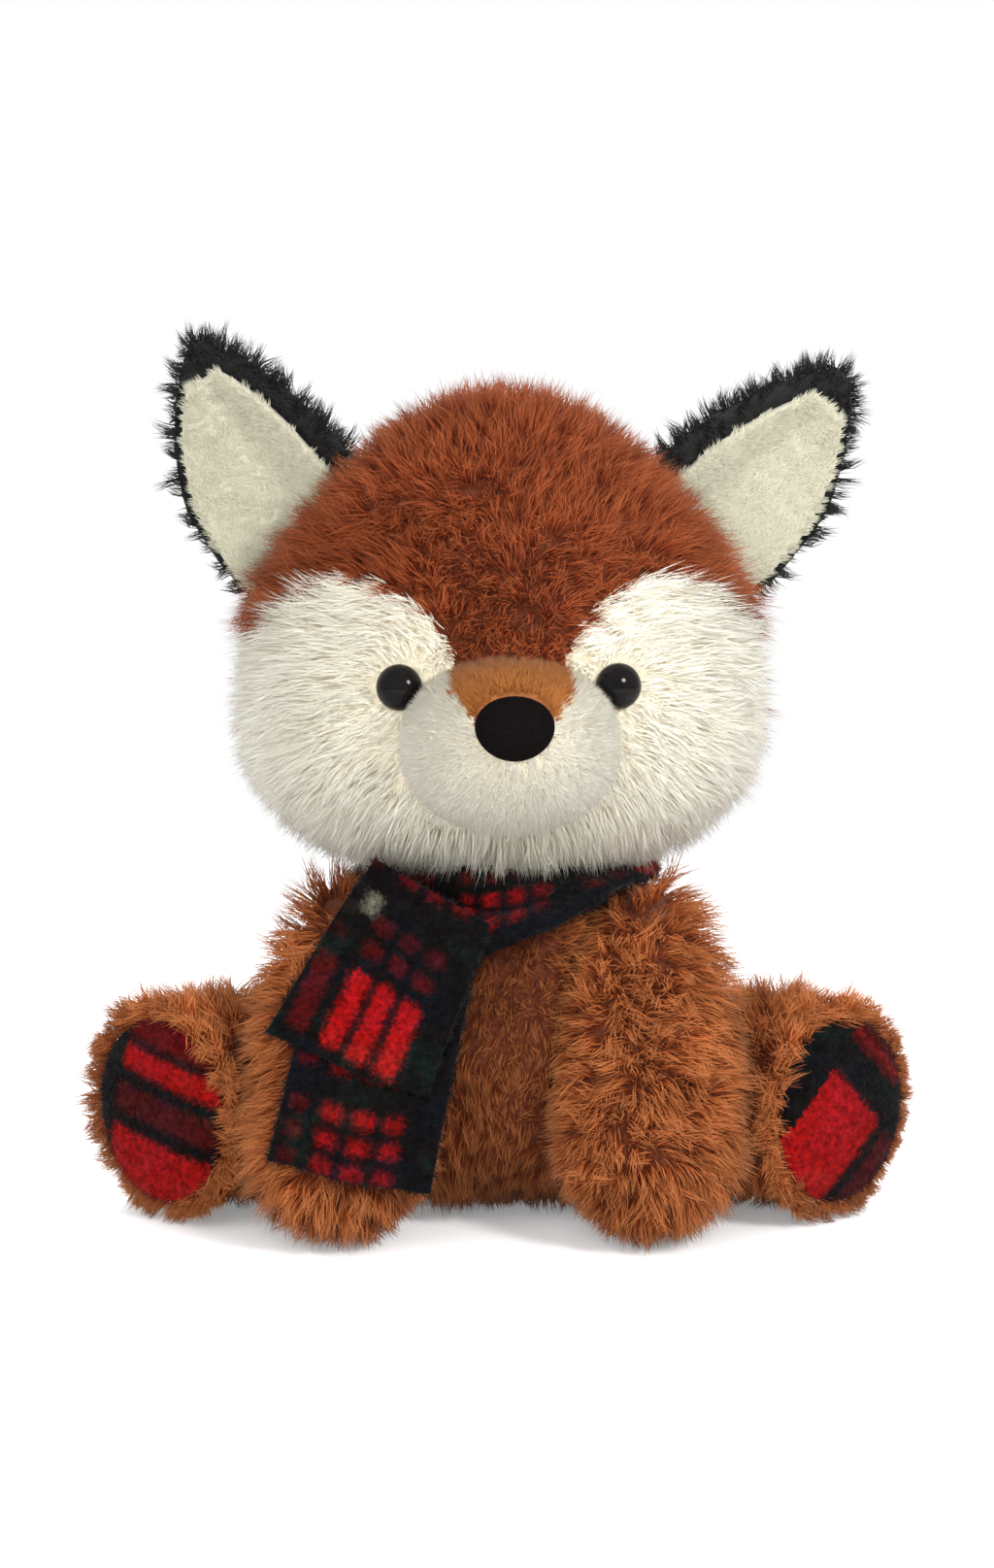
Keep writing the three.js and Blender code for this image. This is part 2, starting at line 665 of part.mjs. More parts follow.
function assemble(groupName, pieces, colourOf) {
  const group = new THREE.Group();
  group.name = groupName;
  for (const [name, one] of Object.entries(pieces)) {
    const mesh = one.getMesh();
    const geometry = new THREE.BufferGeometry();
    geometry.setAttribute('position', new THREE.BufferAttribute(mesh.vertProperties, 3));
    geometry.setIndex(new THREE.BufferAttribute(mesh.triVerts, 1));
    const look = colourOf(name);
    const material = new THREE.MeshStandardMaterial({
      color: colours[look],
      roughness: name.startsWith('eye_') ? gloss : fabric,
      metalness: 0,
    });
    const piece = new THREE.Mesh(geometry, material);
    piece.name = name;
    group.add(piece);
  }
  fox.add(group);
}

function lookOf(name) {
  const looks = [
    ['stuffing', 'fibre'], ['washer', 'plastic'], ['scarf', 'tartan'], ['sole', 'tartan'], ['eye', 'black'],
    ['nose', 'black'], ['lining', 'cream'], ['ear', 'black'], ['cheek', 'white'], ['bridge', 'tan'],
    ['muzzle', 'white'], ['tip', 'white'], ['pouch', 'bag'], ['', 'rust'],
  ];
  return looks.find(([word]) => name.includes(word))[1];
}

const collarRing = collarSolid().subtract(headSpace(gap)).subtract(swell(body, gap));
assemble('head', turned(headPieces()), lookOf);
for (const [name, side] of [['left', 1], ['right', -1]]) {
  const made = earPieces(side, earLean[name]);
  const pieces = { [`ear_${name}_back`]: made.back, [`ear_${name}_lining`]: made.lining };
  assemble(`ear_${name}`, turned(pieces), lookOf);
}
assemble('torso', { ...bodyPieces(), scarf_collar: collarRing }, lookOf);
assemble('scarf_ends', { scarf_end_over: scarfEnd(scarfOver), scarf_end_under: scarfEnd(scarfUnder) }, lookOf);
const arms = [['left', 1, leftArmForm, range.armLeft], ['right', -1, rightArmForm, range.armRight]];
for (const [name, side, form, lift] of arms) {
  const frontLeg = armPieces(form, lift);
  assemble(`arm_${name}`, {
    [`arm_${name}_cover`]: frontLeg.cover,
    [`arm_${name}_stuffing`]: frontLeg.stuffing,
  }, lookOf);
  const made = legPieces(side, (grow) => partingSpace(form, side, grow));
  assemble(`leg_${name}`, {
    [`leg_${name}_cover`]: made.cover,
    [`leg_${name}_sole`]: made.sole,
    [`leg_${name}_stuffing`]: made.stuffing,
  }, lookOf);
}
assemble('tail', tailPieces(), lookOf);

export default fox;
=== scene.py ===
import math

import bmesh
import bpy
import numpy as np
from mathutils import Matrix, Vector, noise
from mathutils.bvhtree import BVHTree


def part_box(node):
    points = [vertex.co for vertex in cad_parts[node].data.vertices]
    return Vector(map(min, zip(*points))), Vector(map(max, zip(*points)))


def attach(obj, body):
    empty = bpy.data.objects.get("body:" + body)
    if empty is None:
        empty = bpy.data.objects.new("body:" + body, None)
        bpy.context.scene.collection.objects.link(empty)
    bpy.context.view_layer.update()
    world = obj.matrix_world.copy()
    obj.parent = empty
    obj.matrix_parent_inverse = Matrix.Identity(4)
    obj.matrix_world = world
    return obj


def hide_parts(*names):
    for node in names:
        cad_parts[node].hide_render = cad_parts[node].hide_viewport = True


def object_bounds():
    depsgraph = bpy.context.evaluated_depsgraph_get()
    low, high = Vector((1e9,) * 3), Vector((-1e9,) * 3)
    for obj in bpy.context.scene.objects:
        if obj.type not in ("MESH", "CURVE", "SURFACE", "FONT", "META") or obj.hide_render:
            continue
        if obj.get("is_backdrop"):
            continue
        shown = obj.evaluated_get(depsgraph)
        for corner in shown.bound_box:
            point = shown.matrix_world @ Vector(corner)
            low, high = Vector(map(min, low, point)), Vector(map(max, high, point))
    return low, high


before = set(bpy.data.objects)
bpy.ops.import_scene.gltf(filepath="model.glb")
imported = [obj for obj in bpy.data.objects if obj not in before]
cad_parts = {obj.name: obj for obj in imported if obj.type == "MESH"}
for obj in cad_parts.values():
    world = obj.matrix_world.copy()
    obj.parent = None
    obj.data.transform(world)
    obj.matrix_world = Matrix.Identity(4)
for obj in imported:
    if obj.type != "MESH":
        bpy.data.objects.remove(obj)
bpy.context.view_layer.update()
noise_seed = 4
noise.seed_set(noise_seed)

# Studio
# A white sweep under soft lamps, seen through a long lens a little above the fox's chin.
MM = 0.001
photo_span = 423.6 * MM
camera_aim = Vector((-1.1, 0, 116.5)) * MM
camera_far = 1250 * MM
camera_rise = math.radians(9)
sensor = 36
white_paper = (0.86, 0.86, 0.86, 1)
paper_glow = 0.22
fade_start = 0.2
fade_end = 0.7
room_light = 0.68
plain_white = (1, 1, 1, 1)
lamp_aim = Vector((0, 0, 120)) * MM
lamps = {
    "key": {"at": (600, -800, 640), "size": 320, "power": 11.5, "mirrored": True},
    "fill": {"at": (-420, -1080, 420), "size": 1300, "power": 16.5, "mirrored": False},
    "rim": {"at": (40, 560, 700), "size": 600, "power": 6, "mirrored": False},
}


def paint(red, green, blue):
    """A linear colour from the shares of red, green and blue that a screen shows."""
    return (*[c / 12.92 if c <= 0.04045 else ((c + 0.055) / 1.055) ** 2.4 for c in (red, green, blue)], 1)


def aimed(obj, at, target):
    obj.location = at
    obj.rotation_euler = (Vector(target) - Vector(at)).to_track_quat("-Z", "Y").to_euler()


def placed(name, data):
    obj = bpy.data.objects.new(name, data)
    bpy.context.collection.objects.link(obj)
    return obj


def shader(wires, kind, inputs=(), **settings):
    """A shader node with its settings, its inputs set to values or wired to sockets."""
    fresh = wires.nodes.new("ShaderNode" + kind)
    for setting, value in settings.items():
        setattr(fresh, setting, value)
    for socket, value in dict(inputs).items():
        if isinstance(value, bpy.types.NodeSocket):
            wires.links.new(value, fresh.inputs[socket])
        else:
            fresh.inputs[socket].default_value = value
    return fresh


def meshed(name, bm, smooth=False):
    """The mesh of a bmesh, which is then freed."""
    for face in bm.faces:
        face.smooth = face.smooth or smooth
    mesh = bpy.data.meshes.new(name)
    bm.to_mesh(mesh)
    bm.free()
    return mesh


camera = placed("camera", bpy.data.cameras.new("camera"))
camera.data.sensor_width = sensor
camera.data.lens = sensor * camera_far / photo_span
camera.data.clip_end = 20
camera_back = Vector((0, -math.cos(camera_rise), math.sin(camera_rise)))
aimed(camera, camera_aim + camera_back * camera_far, camera_aim)
bpy.context.scene.camera = camera
bpy.context.scene.view_settings.view_transform = "Standard"

for lamp_name, lamp in lamps.items():
    light = bpy.data.lights.new(lamp_name, "AREA")
    light.shape = "DISK"
    light.size = lamp["size"] * MM
    light.energy = lamp["power"]
    stand = placed(lamp_name, light)
    stand.visible_glossy = lamp["mirrored"]
    aimed(stand, Vector(lamp["at"]) * MM, lamp_aim)

world = bpy.data.worlds.new("studio")
bpy.context.scene.world = world
world.use_nodes = True
wires = world.node_tree
wires.nodes.clear()
seen = shader(wires, "Background", {"Color": plain_white})
around = shader(wires, "Background", {"Color": plain_white, "Strength": room_light})
path = shader(wires, "LightPath")
total = path.outputs["Is Camera Ray"]
for ray in ("Is Glossy Ray", "Is Transmission Ray"):
    total = shader(wires, "Math", {0: total, 1: path.outputs[ray]}, operation="MAXIMUM").outputs[0]
choose = shader(wires, "MixShader", {"Fac": total, 1: around.outputs[0], 2: seen.outputs[0]})
shader(wires, "OutputWorld", {"Surface": choose.outputs[0]})

floor_reach = 4000 * MM
bm = bmesh.new()
bmesh.ops.create_grid(bm, x_segments=1, y_segments=1, size=floor_reach)
floor = placed("floor", meshed("floor", bm))
floor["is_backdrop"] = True
paper = bpy.data.materials.new("paper")
paper.use_nodes = True
wires = paper.node_tree
wires.nodes.clear()
path = shader(wires, "LightPath")
seen_directly = path.outputs["Is Camera Ray"]
matte = shader(wires, "BsdfDiffuse", {"Color": white_paper})
dim = shader(wires, "Math", {0: seen_directly, 1: paper_glow}, operation="MULTIPLY")
glow = shader(wires, "Emission", {"Strength": dim.outputs[0]})
both = shader(wires, "AddShader", {0: matte.outputs[0], 1: glow.outputs[0]})
place = shader(wires, "TexCoord")
reach = shader(wires, "VectorMath", {0: place.outputs["Object"]}, operation="LENGTH")
fade = shader(
    wires, "MapRange", {"Value": reach.outputs["Value"], "From Min": fade_start, "From Max": fade_end},
    interpolation_type="SMOOTHSTEP",
)
far_white = shader(wires, "Math", {0: fade.outputs["Result"], 1: seen_directly}, operation="MULTIPLY")
white = shader(wires, "Emission")
sweep = shader(wires, "MixShader", {"Fac": far_white.outputs[0], 1: both.outputs[0], 2: white.outputs[0]})
shader(wires, "OutputMaterial", {"Surface": sweep.outputs[0]})
floor.data.materials.append(paper)

# Head
# Three long-pile panels over stuffing: the rust crown and two white cheeks, with a short-pile
# muzzle let into the front. Each form is puffed tight by its filling before its pile is set.
cloth_frames = 20
puff = 1500
skin_mass, skin_pull, skin_bend = 0.01, 0.2, 0.01
weld = 0.001 * MM
fine_columns, fine_rows = 72, 48
head_voxel = 4.0 * MM
skin_give = 2.2 * MM
press_gap = 0.4 * MM
long_inset = 7.6
head_inset = 6.6
muzzle_inset = 2.0
head_yaw = math.radians(2.5)
head_turn = Matrix.Rotation(head_yaw, 4, "Z")
neck = Vector((0, -2, 0))
head_shape = {
    "at": (0, -2, 136.5), "half_width": 71, "half_depth": 56, "up": 87, "down": 42, "powers": (1.45, 2.7),
    "turn": head_turn,
}
muzzle_shape = {
    "at": neck + head_turn @ Vector((0, -52, 135.5)), "half_width": 28.5, "half_depth": 27,
    "up": 22.5, "down": 23.5, "powers": (2.2, 2.2), "turn": head_turn,
}


def made(name, mesh, body):
    piece = placed(name, mesh)
    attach(piece, body)
    return piece


def dressed(piece, material):
    """Gives a piece one material in place of what it had."""
    piece.data.materials.clear()
    piece.data.materials.append(material)


def points_of(mesh):
    spots = np.empty(3 * len(mesh.vertices))
    mesh.vertices.foreach_get("co", spots)
    return spots.reshape(-1, 3)


def frozen(obj, name):
    """The mesh of an object as its modifiers leave it."""
    bpy.context.view_layer.update()
    ready = obj.evaluated_get(bpy.context.evaluated_depsgraph_get())
    mesh = bpy.data.meshes.new_from_object(ready)
    mesh.name = name
    return mesh


def settled(obj):
    """Keeps an object as its modifiers leave it, shaded smooth."""
    obj.data = frozen(obj, obj.name)
    obj.modifiers.clear()
    for face in obj.data.polygons:
        face.use_smooth = True


def swelling(form, inset, columns=40, rows=26):
    """A ball drawn out to a swelling form, in mm: widest at its own level, closing by its own powers."""
    bm = bmesh.new()
    bmesh.ops.create_uvsphere(bm, u_segments=columns, v_segments=rows, radius=1)
    for vert in bm.verts:
        low = vert.co.z < 0
        rise = vert.co.z * ((form["down"] if low else form["up"]) - inset)
        full = fullness(form, rise, inset)
        level = max(math.hypot(vert.co.x, vert.co.y), weld)
        vert.co.x *= (form["half_width"] - inset) * full / level
        vert.co.y *= (form["half_depth"] - inset) * full / level
        vert.co.z = rise
    lean_x, lean_y = form.get("lean", (0, 0))
    for vert in bm.verts:
        vert.co.x += lean_x * vert.co.z
        vert.co.y += lean_y * vert.co.z
    turn = form.get("turn", Matrix.Identity(4))
    place = Matrix.Scale(MM, 4) @ Matrix.Translation(form["at"]) @ turn
    bmesh.ops.transform(bm, matrix=place, verts=bm.verts)
    return bm


def fullness(form, rise, inset):
    low = rise < 0
    reach = (form["down"] if low else form["up"]) - inset
    return math.sqrt(max(0, 1 - abs(rise / reach) ** form["powers"][low]))


def stuffed(name, part, inset, voxel, against=()):
    """A swelling form made an even closed skin and puffed by air, by no more than it gives, then pressed
    clear of what it lies against."""
    form = placed(name, meshed(name, swelling(part, inset)))
    remesh = form.modifiers.new("remesh", "REMESH")
    remesh.mode = "VOXEL"
    remesh.voxel_size = voxel
    soften = form.modifiers.new("soften", "SMOOTH")
    soften.iterations = 3
    settled(form)
    before = points_of(form.data)
    cloth = form.modifiers.new("cloth", "CLOTH")
    cloth.settings.quality = 4
    cloth.settings.mass = skin_mass
    cloth.settings.tension_stiffness = cloth.settings.compression_stiffness = skin_pull
    cloth.settings.shear_stiffness = skin_pull
    cloth.settings.bending_stiffness = skin_bend
    cloth.settings.use_pressure = True
    cloth.settings.uniform_pressure_force = puff
    cloth.settings.effector_weights.gravity = 0
    cloth.collision_settings.use_collision = False
    cloth.point_cache.frame_start = 1
    cloth.point_cache.frame_end = cloth_frames
    for number in range(1, cloth_frames + 1):
        bpy.context.scene.frame_set(number)
    after = points_of(frozen(form, name + "_puffed"))
    form.modifiers.clear()
    bpy.context.scene.frame_set(1)
    moved = after - before
    far = np.linalg.norm(moved, axis=1) + weld
    moved *= np.minimum(1, skin_give / far)[:, None]
    after = before + moved
    form.data.vertices.foreach_set("co", after.ravel())
    bm = bmesh.new()
    bm.from_mesh(form.data)
    for _ in range(2):
        bmesh.ops.smooth_vert(bm, verts=bm.verts, factor=0.5, use_axis_x=True, use_axis_y=True, use_axis_z=True)
    for vert in bm.verts:
        for other in against:
            near, facing, _, _ = other.find_nearest(vert.co)
            if (vert.co - near).dot(facing) < press_gap:
                vert.co = near + facing * press_gap
    bm.to_mesh(form.data)
    bm.free()
    rounded = form.modifiers.new("rounded", "SUBSURF")
    rounded.levels = rounded.render_levels = 1
    settled(form)
    return form


def tree_of(*nodes):
    bm = bmesh.new()
    for node in nodes:
        bm.from_mesh(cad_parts[node].data)
    tree = BVHTree.FromBMesh(bm)
    bm.free()
    return tree


def distance(tree, point):
    return tree.find_nearest(Vector(point))[3]


def skin_tree(mesh):
    return BVHTree.FromPolygons([v.co for v in mesh.vertices], [tuple(f.vertices) for f in mesh.polygons])


def let_in(form, part, inset):
    """Joins one more swelling form to a form, its seam left sharp, and gives back the skin of that part."""
    mesh = meshed(form.name + "_part", swelling(part, inset, fine_columns, fine_rows))
    other = placed(mesh.name, mesh)
    union = form.modifiers.new("union", "BOOLEAN")
    union.operation = "UNION"
    union.solver = "EXACT"
    union.object = other
    settled(form)
    bpy.data.objects.remove(other)
    return skin_tree(mesh)


head_form = stuffed("head_filling", head_shape, head_inset, head_voxel)
muzzle_skin = let_in(head_form, muzzle_shape, muzzle_inset)
muzzle_near = 0.15 * MM
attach(head_form, "head")
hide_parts("head_stuffing")

uv_name = "OFBake"


def scattered(form, spacing, seed, layer=None):
    """Places and outward directions spread evenly over a form, about one for each square of the spacing,
    and where each lies on a print, if its layer is named. Triangles are taken in the order of their
    places, because a Boolean or a sphere leaves them in another order on each run."""
    rng = np.random.default_rng(seed)
    mesh = form.data
    mesh.calc_loop_triangles()
    corners = np.empty(3 * len(mesh.loop_triangles), int)
    mesh.loop_triangles.foreach_get("vertices", corners)
    corners = corners.reshape(-1, 3)
    spots = points_of(mesh)
    rank = np.empty(len(spots), int)
    rank[np.lexsort(spots.T)] = np.arange(len(spots))
    turned = (rank[corners].argmin(axis=1)[:, None] + np.arange(3)) % 3
    order = np.lexsort(np.take_along_axis(rank[corners], turned, axis=1).T)

    def in_order(per_corner):
        return np.take_along_axis(per_corner, turned, axis=1)[order]

    corners = in_order(corners)
    normals = np.empty(3 * len(mesh.vertices))
    mesh.vertices.foreach_get("normal", normals)
    normals = normals.reshape(-1, 3)
    a, b, c = (spots[corners[:, i]] for i in range(3))
    areas = np.linalg.norm(np.cross(b - a, c - a), axis=1) / 2
    count = int(3.5 * areas.sum() / spacing**2)
    chosen = rng.choice(len(areas), count, p=areas / areas.sum())
    u, v = rng.random((2, count, 1))
    flip = (u + v) > 1
    u, v = np.where(flip, 1 - u, u), np.where(flip, 1 - v, v)
    weights = (1 - u - v, u, v)
    places = sum(w * spots[corners[chosen, i]] for i, w in enumerate(weights))
    outward = sum(w * normals[corners[chosen, i]] for i, w in enumerate(weights))
    outward /= np.linalg.norm(outward, axis=1, keepdims=True)
    cells = np.floor(places / spacing).astype(int)
    kept = np.unique(cells, axis=0, return_index=True)[1]
    kept.sort()
    if layer is None:
        return places[kept], outward[kept]
    loops = np.empty(3 * len(mesh.loop_triangles), int)
    mesh.loop_triangles.foreach_get("loops", loops)
    prints = np.empty(2 * len(mesh.loops))
    mesh.uv_layers[layer].data.foreach_get("uv", prints)
    prints = prints.reshape(-1, 2)[in_order(loops.reshape(-1, 3))]
    prints = sum(w * prints[chosen, i] for i, w in enumerate(weights))
    return places[kept], outward[kept], prints[kept]


def along(surface, direction):
    """The part of a direction that lies in the surface, scaled to its own length."""
    return direction - surface * np.sum(surface * direction, axis=1, keepdims=True)


def unit(vectors):
    return vectors / np.maximum(np.linalg.norm(vectors, axis=-1, keepdims=True), weld)


def drift(places, scale, seed):
    """A slow random direction at each place, alike at neighbouring ones."""
    shift = Vector((seed, 2 * seed, 3 * seed))
    return np.array([noise.noise_vector(Vector(p) / scale + shift) for p in places])


def lightness(places, scale, seed):
    shift = Vector((3 * seed, seed, 2 * seed))
    return np.array([noise.noise(Vector(p) / scale + shift) for p in places])


rest_height, rest_spread = 0.25 * MM, 0.3 * MM
cloth_map = "Weave"
print_slip = 0.4
hair_least, hair_most = 0.72, 1.08
bend_low, bend_high, bend_straight = 0.45, 1.35, 0.8


def grown(name, body, material, places, outward, lay, length, look, seed, prints=None, shade=0):
    """Tapered three-sided hairs in tufts. Long ones bend over as their tuft is laid and lean in to its
    tip; short straight ones fill in below them. All are shaded partly as the cloth under them faces."""
    rng = np.random.default_rng(seed)
    tufts = len(places)
    helper = np.where(np.abs(outward[:, 2:]) < 0.9, [[0, 0, 1]], [[1, 0, 0]])
    across = unit(np.cross(helper, outward))
    beside = np.cross(outward, across)
    tuft_lay = lay + look["stray"] * along(outward, rng.normal(size=(tufts, 3)))
    tuft_length = length * rng.uniform(1 - look["uneven"], 1 + look["uneven"], tufts)
    # shade is painted shade: it darkens the tufts' colour, and where it is below zero it lightens it as painted
    # light
    tuft_tint = 0.5 + 0.28 * lightness(places, look["patch"], seed) + 0.10 * rng.normal(size=tufts) - shade
    spots, facings, faces, sizes, uvs, marks, first = [], [], [], [], [], [], 0
    for hairs, bent in ((look["hairs"], True), (look["under"], False)):
        turn = rng.uniform(0, 2 * math.pi, (tufts, hairs, 1))
        reach = look["spread"] * np.sqrt(rng.random((tufts, hairs, 1)))
        offset = reach * (np.cos(turn) * across[:, None] + np.sin(turn) * beside[:, None])
        share = rng.uniform(hair_least, hair_most, (tufts, hairs, 1)) * (1 if bent else look["under_share"])
        hair_length = tuft_length[:, None, None] * share
        hair_lay = tuft_lay[:, None] + look["loose"] * rng.normal(size=(tufts, hairs, 3))
        up = outward[:, None] + 0 * hair_lay
        base = places[:, None] + offset - look["rooted"] * up
        if bent:
            middle = base + 0.5 * hair_length * unit(up + bend_low * hair_lay)
            tip = middle + 0.5 * hair_length * unit(up + bend_high * hair_lay)
            axis_middle = places[:, None] + 0.5 * hair_length * unit(up + bend_low * tuft_lay[:, None])
            axis_tip = axis_middle + 0.5 * hair_length * unit(up + bend_high * tuft_lay[:, None])
            middle += 0.4 * look["gather"] * (axis_middle - middle)
            tip += look["gather"] * (axis_tip - tip)
            levels = ((base, 1.0), (middle, 0.85))
        else:
            tip = base + hair_length * unit(up + bend_straight * hair_lay)
            levels = ((base, 1.0),)
        along_hair = unit(tip - base)
        side = unit(np.cross(along_hair, rng.normal(size=(tufts, hairs, 3))))
        other = np.cross(along_hair, side)
        corners, turned = [], []
        for level, thick in levels:
            for i in range(3):
                angle = 2 * math.pi * i / 3
                ring = math.cos(angle) * side + math.sin(angle) * other
                corners.append(level + look["thick"] * thick * ring)
                turned.append(unit((1 - look["soft"]) * ring + look["soft"] * up))
        corners.append(tip)
        turned.append(unit(up + along_hair))
        if bent:
            hair_faces = [(0, 2, 1), (0, 1, 4, 3), (1, 2, 5, 4), (2, 0, 3, 5), (3, 4, 6), (4, 5, 6), (5, 3, 6)]
            rows = np.array([0.01, 0.03, 0.02, 0.55, 0.56, 0.57, 0.99])
        else:
            hair_faces = [(0, 2, 1), (0, 1, 3), (1, 2, 3), (2, 0, 3)]
            rows = np.array([0.01, 0.03, 0.02, 0.85])
        columns = (np.arange(len(rows)) % 3) * 0.006
        count = tufts * hairs
        flat = np.concatenate([np.array(f) for f in hair_faces])
        spots.append(np.stack(corners, axis=2).reshape(-1, 3))
        facings.append(np.stack(turned, axis=2).reshape(-1, 3))
        faces.append((first + flat[None] + len(rows) * np.arange(count)[:, None]).ravel())
        sizes.append(np.tile([len(f) for f in hair_faces], count))
        tint = np.clip(tuft_tint[:, None] + 0.10 * rng.normal(size=(tufts, hairs)), 0.03, 0.95).reshape(-1, 1)
        uv = np.empty((count * len(flat), 2))
        uv[:, 0] = (tint + columns[flat][None]).ravel()
        uv[:, 1] = np.tile(rows[flat], count)
        uvs.append(uv)
        if prints is not None:
            own = np.repeat(prints, hairs, axis=0) + print_slip * rng.normal(size=(count, 2))
            marks.append(np.repeat(own, len(flat), axis=0))
        first += len(rows) * count
    spots, facings, faces, sizes, uvs = (np.concatenate(x) for x in (spots, facings, faces, sizes, uvs))
    low = spots[:, 2] < rest_height
    spots[low, 2] = rest_height + rest_spread * rng.random(low.sum())
    mesh = bpy.data.meshes.new(name)
    mesh.vertices.add(len(spots))
    mesh.vertices.foreach_set("co", spots.ravel())
    mesh.loops.add(len(faces))
    mesh.loops.foreach_set("vertex_index", faces)
    mesh.polygons.add(len(sizes))
    mesh.polygons.foreach_set("loop_start", np.concatenate([[0], np.cumsum(sizes)[:-1]]))
    mesh.polygons.foreach_set("use_smooth", np.ones(len(sizes), bool))
    mesh.uv_layers.new(name=uv_name).data.foreach_set("uv", uvs.ravel())
    if prints is not None:
        mesh.uv_layers.new(name=cloth_map).data.foreach_set("uv", np.concatenate(marks).ravel())
    mesh.update(calc_edges=True)
    mesh.normals_split_custom_set_from_vertices(facings.astype(np.float32))
    mesh.materials.append(material)
    return made(name, mesh, body)


def grey(tone):
    return (tone, tone, tone, 1)


def ramp(wires, stops, factor):
    blend = shader(wires, "ValToRGB", {"Fac": factor})
    band = blend.color_ramp
    while len(band.elements) < len(stops):
        band.elements.new(0.5)
    for element, (place, colour) in zip(band.elements, stops):
        element.position = place
        element.color = colour
    return blend.outputs["Color"]


def clouds(wires, scale, detail=2):
    """Noise on the piece's own coordinates."""
    place = shader(wires, "TexCoord")
    return shader(wires, "TexNoise", {"Vector": place.outputs["Object"], "Scale": scale, "Detail": detail})


def blended(wires, way, first, second, share=1):
    mix = shader(wires, "Mix", {"Factor": share, "A": first, "B": second}, data_type="RGBA", blend_type=way)
    return mix.outputs["Result"]


def finished(wires, surface, colour, height, depth):
    """Sets a surface's colour and its fine relief."""
    wires.links.new(colour, surface.inputs["Base Color"])
    bump = shader(wires, "Bump", {"Distance": depth, "Height": height})
    wires.links.new(bump.outputs["Normal"], surface.inputs["Normal"])


def shell(name, roughness, sheen, specular=0.25):
    material = bpy.data.materials.new(name)
    material.use_nodes = True
    surface = material.node_tree.nodes["Principled BSDF"]
    surface.inputs["Roughness"].default_value = roughness
    surface.inputs["Sheen Weight"].default_value = sheen
    surface.inputs["Sheen Roughness"].default_value = 0.5
    surface.inputs["Specular IOR Level"].default_value = specular
    return material, material.node_tree, surface


glow_depth = 1.2 * MM
knit_depth = 0.4 * MM
knit_grain = 900


def pile_material(name, root, middle, tip, dark, light, through=0.0):
    """Hair colour from its root to its tip, darker or lighter from hair to hair."""
    material, wires, surface = shell(name, 0.70, 0.04, specular=0.04)
    surface.inputs["Subsurface Weight"].default_value = through
    surface.inputs["Subsurface Radius"].default_value = (1, 1, 1)
    surface.inputs["Subsurface Scale"].default_value = glow_depth
    layout = shader(wires, "UVMap", uv_map=uv_name)
    split = shader(wires, "SeparateXYZ", {0: layout.outputs["UV"]})
    length_colour = ramp(wires, [(0.0, root), (0.45, middle), (1.0, tip)], split.outputs["Y"])
    tint_colour = ramp(wires, [(0.1, grey(dark)), (0.9, grey(light))], split.outputs["X"])
    wires.links.new(blended(wires, "MULTIPLY", length_colour, tint_colour), surface.inputs["Base Color"])
    return material


def backing_material(name, dark, light, grain=knit_grain):
    """Knitted backing with the matted feet of its pile."""
    material, wires, surface = shell(name, 0.9, 0.1)
    cloud = clouds(wires, grain, 4).outputs["Fac"]
    finished(wires, surface, ramp(wires, [(0.35, dark), (0.65, light)], cloud), cloud, knit_depth)
    return material


rust_backing = backing_material("rust_backing", paint(0.27, 0.12, 0.05), paint(0.37, 0.17, 0.075))
# The white backing is darker than the white hair's roots: painted shade for the cloth seen between the hairs
white_backing_painted_shade = backing_material("white_backing_painted_shade", paint(0.74, 0.71, 0.63), paint(0.79, 0.76, 0.68))
white_through = 0.8
crown_pile = pile_material(
    "rust_crown_pile", paint(0.225, 0.085, 0.033), paint(0.44, 0.18, 0.085), paint(0.61, 0.34, 0.195), 0.55, 1.34,
)
white_pile = pile_material(
    "white_pile", paint(0.93, 0.87, 0.72), paint(0.965, 0.915, 0.77), paint(0.975, 0.935, 0.80), 0.95, 1.0,
    through=white_through,
)
tan_pile = pile_material(
    "tan_pile", paint(0.42, 0.21, 0.085), paint(0.60, 0.36, 0.165), paint(0.70, 0.465, 0.26), 0.82, 1.12,
)

crown_hair = {
    "hairs": 7, "under": 13, "under_share": 0.86, "spread": 2.2 * MM, "stray": 0.26, "uneven": 0.12,
    "loose": 0.24, "rooted": 0.8 * MM, "gather": 0.34, "thick": 0.15 * MM, "patch": 12 * MM, "soft": 0.5,
}
long_hair = {
    "hairs": 9, "under": 10, "under_share": 0.82, "spread": 2.3 * MM, "stray": 0.32, "uneven": 0.18,
    "loose": 0.20, "rooted": 0.8 * MM, "gather": 0.42, "thick": 0.16 * MM, "patch": 11 * MM, "soft": 0.45,
}
cheek_hair = {
    "hairs": 8, "under": 12, "under_share": 0.86, "spread": 2.4 * MM, "stray": 0.18, "uneven": 0.12,
    "loose": 0.22, "rooted": 0.8 * MM, "gather": 0.30, "thick": 0.16 * MM, "patch": 14 * MM, "soft": 0.75,
}
back_thick = 0.19 * MM
back_share = 0.555
short_hair = {
    "hairs": 0, "under": 14, "under_share": 1.0, "spread": 1.1 * MM, "stray": 0.16, "uneven": 0.10,
    "loose": 0.20, "rooted": 0.4 * MM, "gather": 0.25, "thick": 0.16 * MM, "patch": 9 * MM, "soft": 0.93,
}

panels = {
    "crown": tree_of("head_crown"), "cheek_left": tree_of("head_cheek_left"),
    "cheek_right": tree_of("head_cheek_right"), "muzzle": tree_of("muzzle"), "bridge": tree_of("muzzle_bridge"),
}
probe, short_probe = 6.5 * MM, 1.5 * MM
eye_yaw = math.radians(19)


def eye_axis(side):
    yaw = side * eye_yaw + head_yaw
    return Vector((math.sin(yaw), -math.cos(yaw), 0))


def eye_tip(name, side):
    outward = eye_axis(side)
    return max((v.co.copy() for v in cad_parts[name].data.vertices), key=lambda p: p.dot(outward))


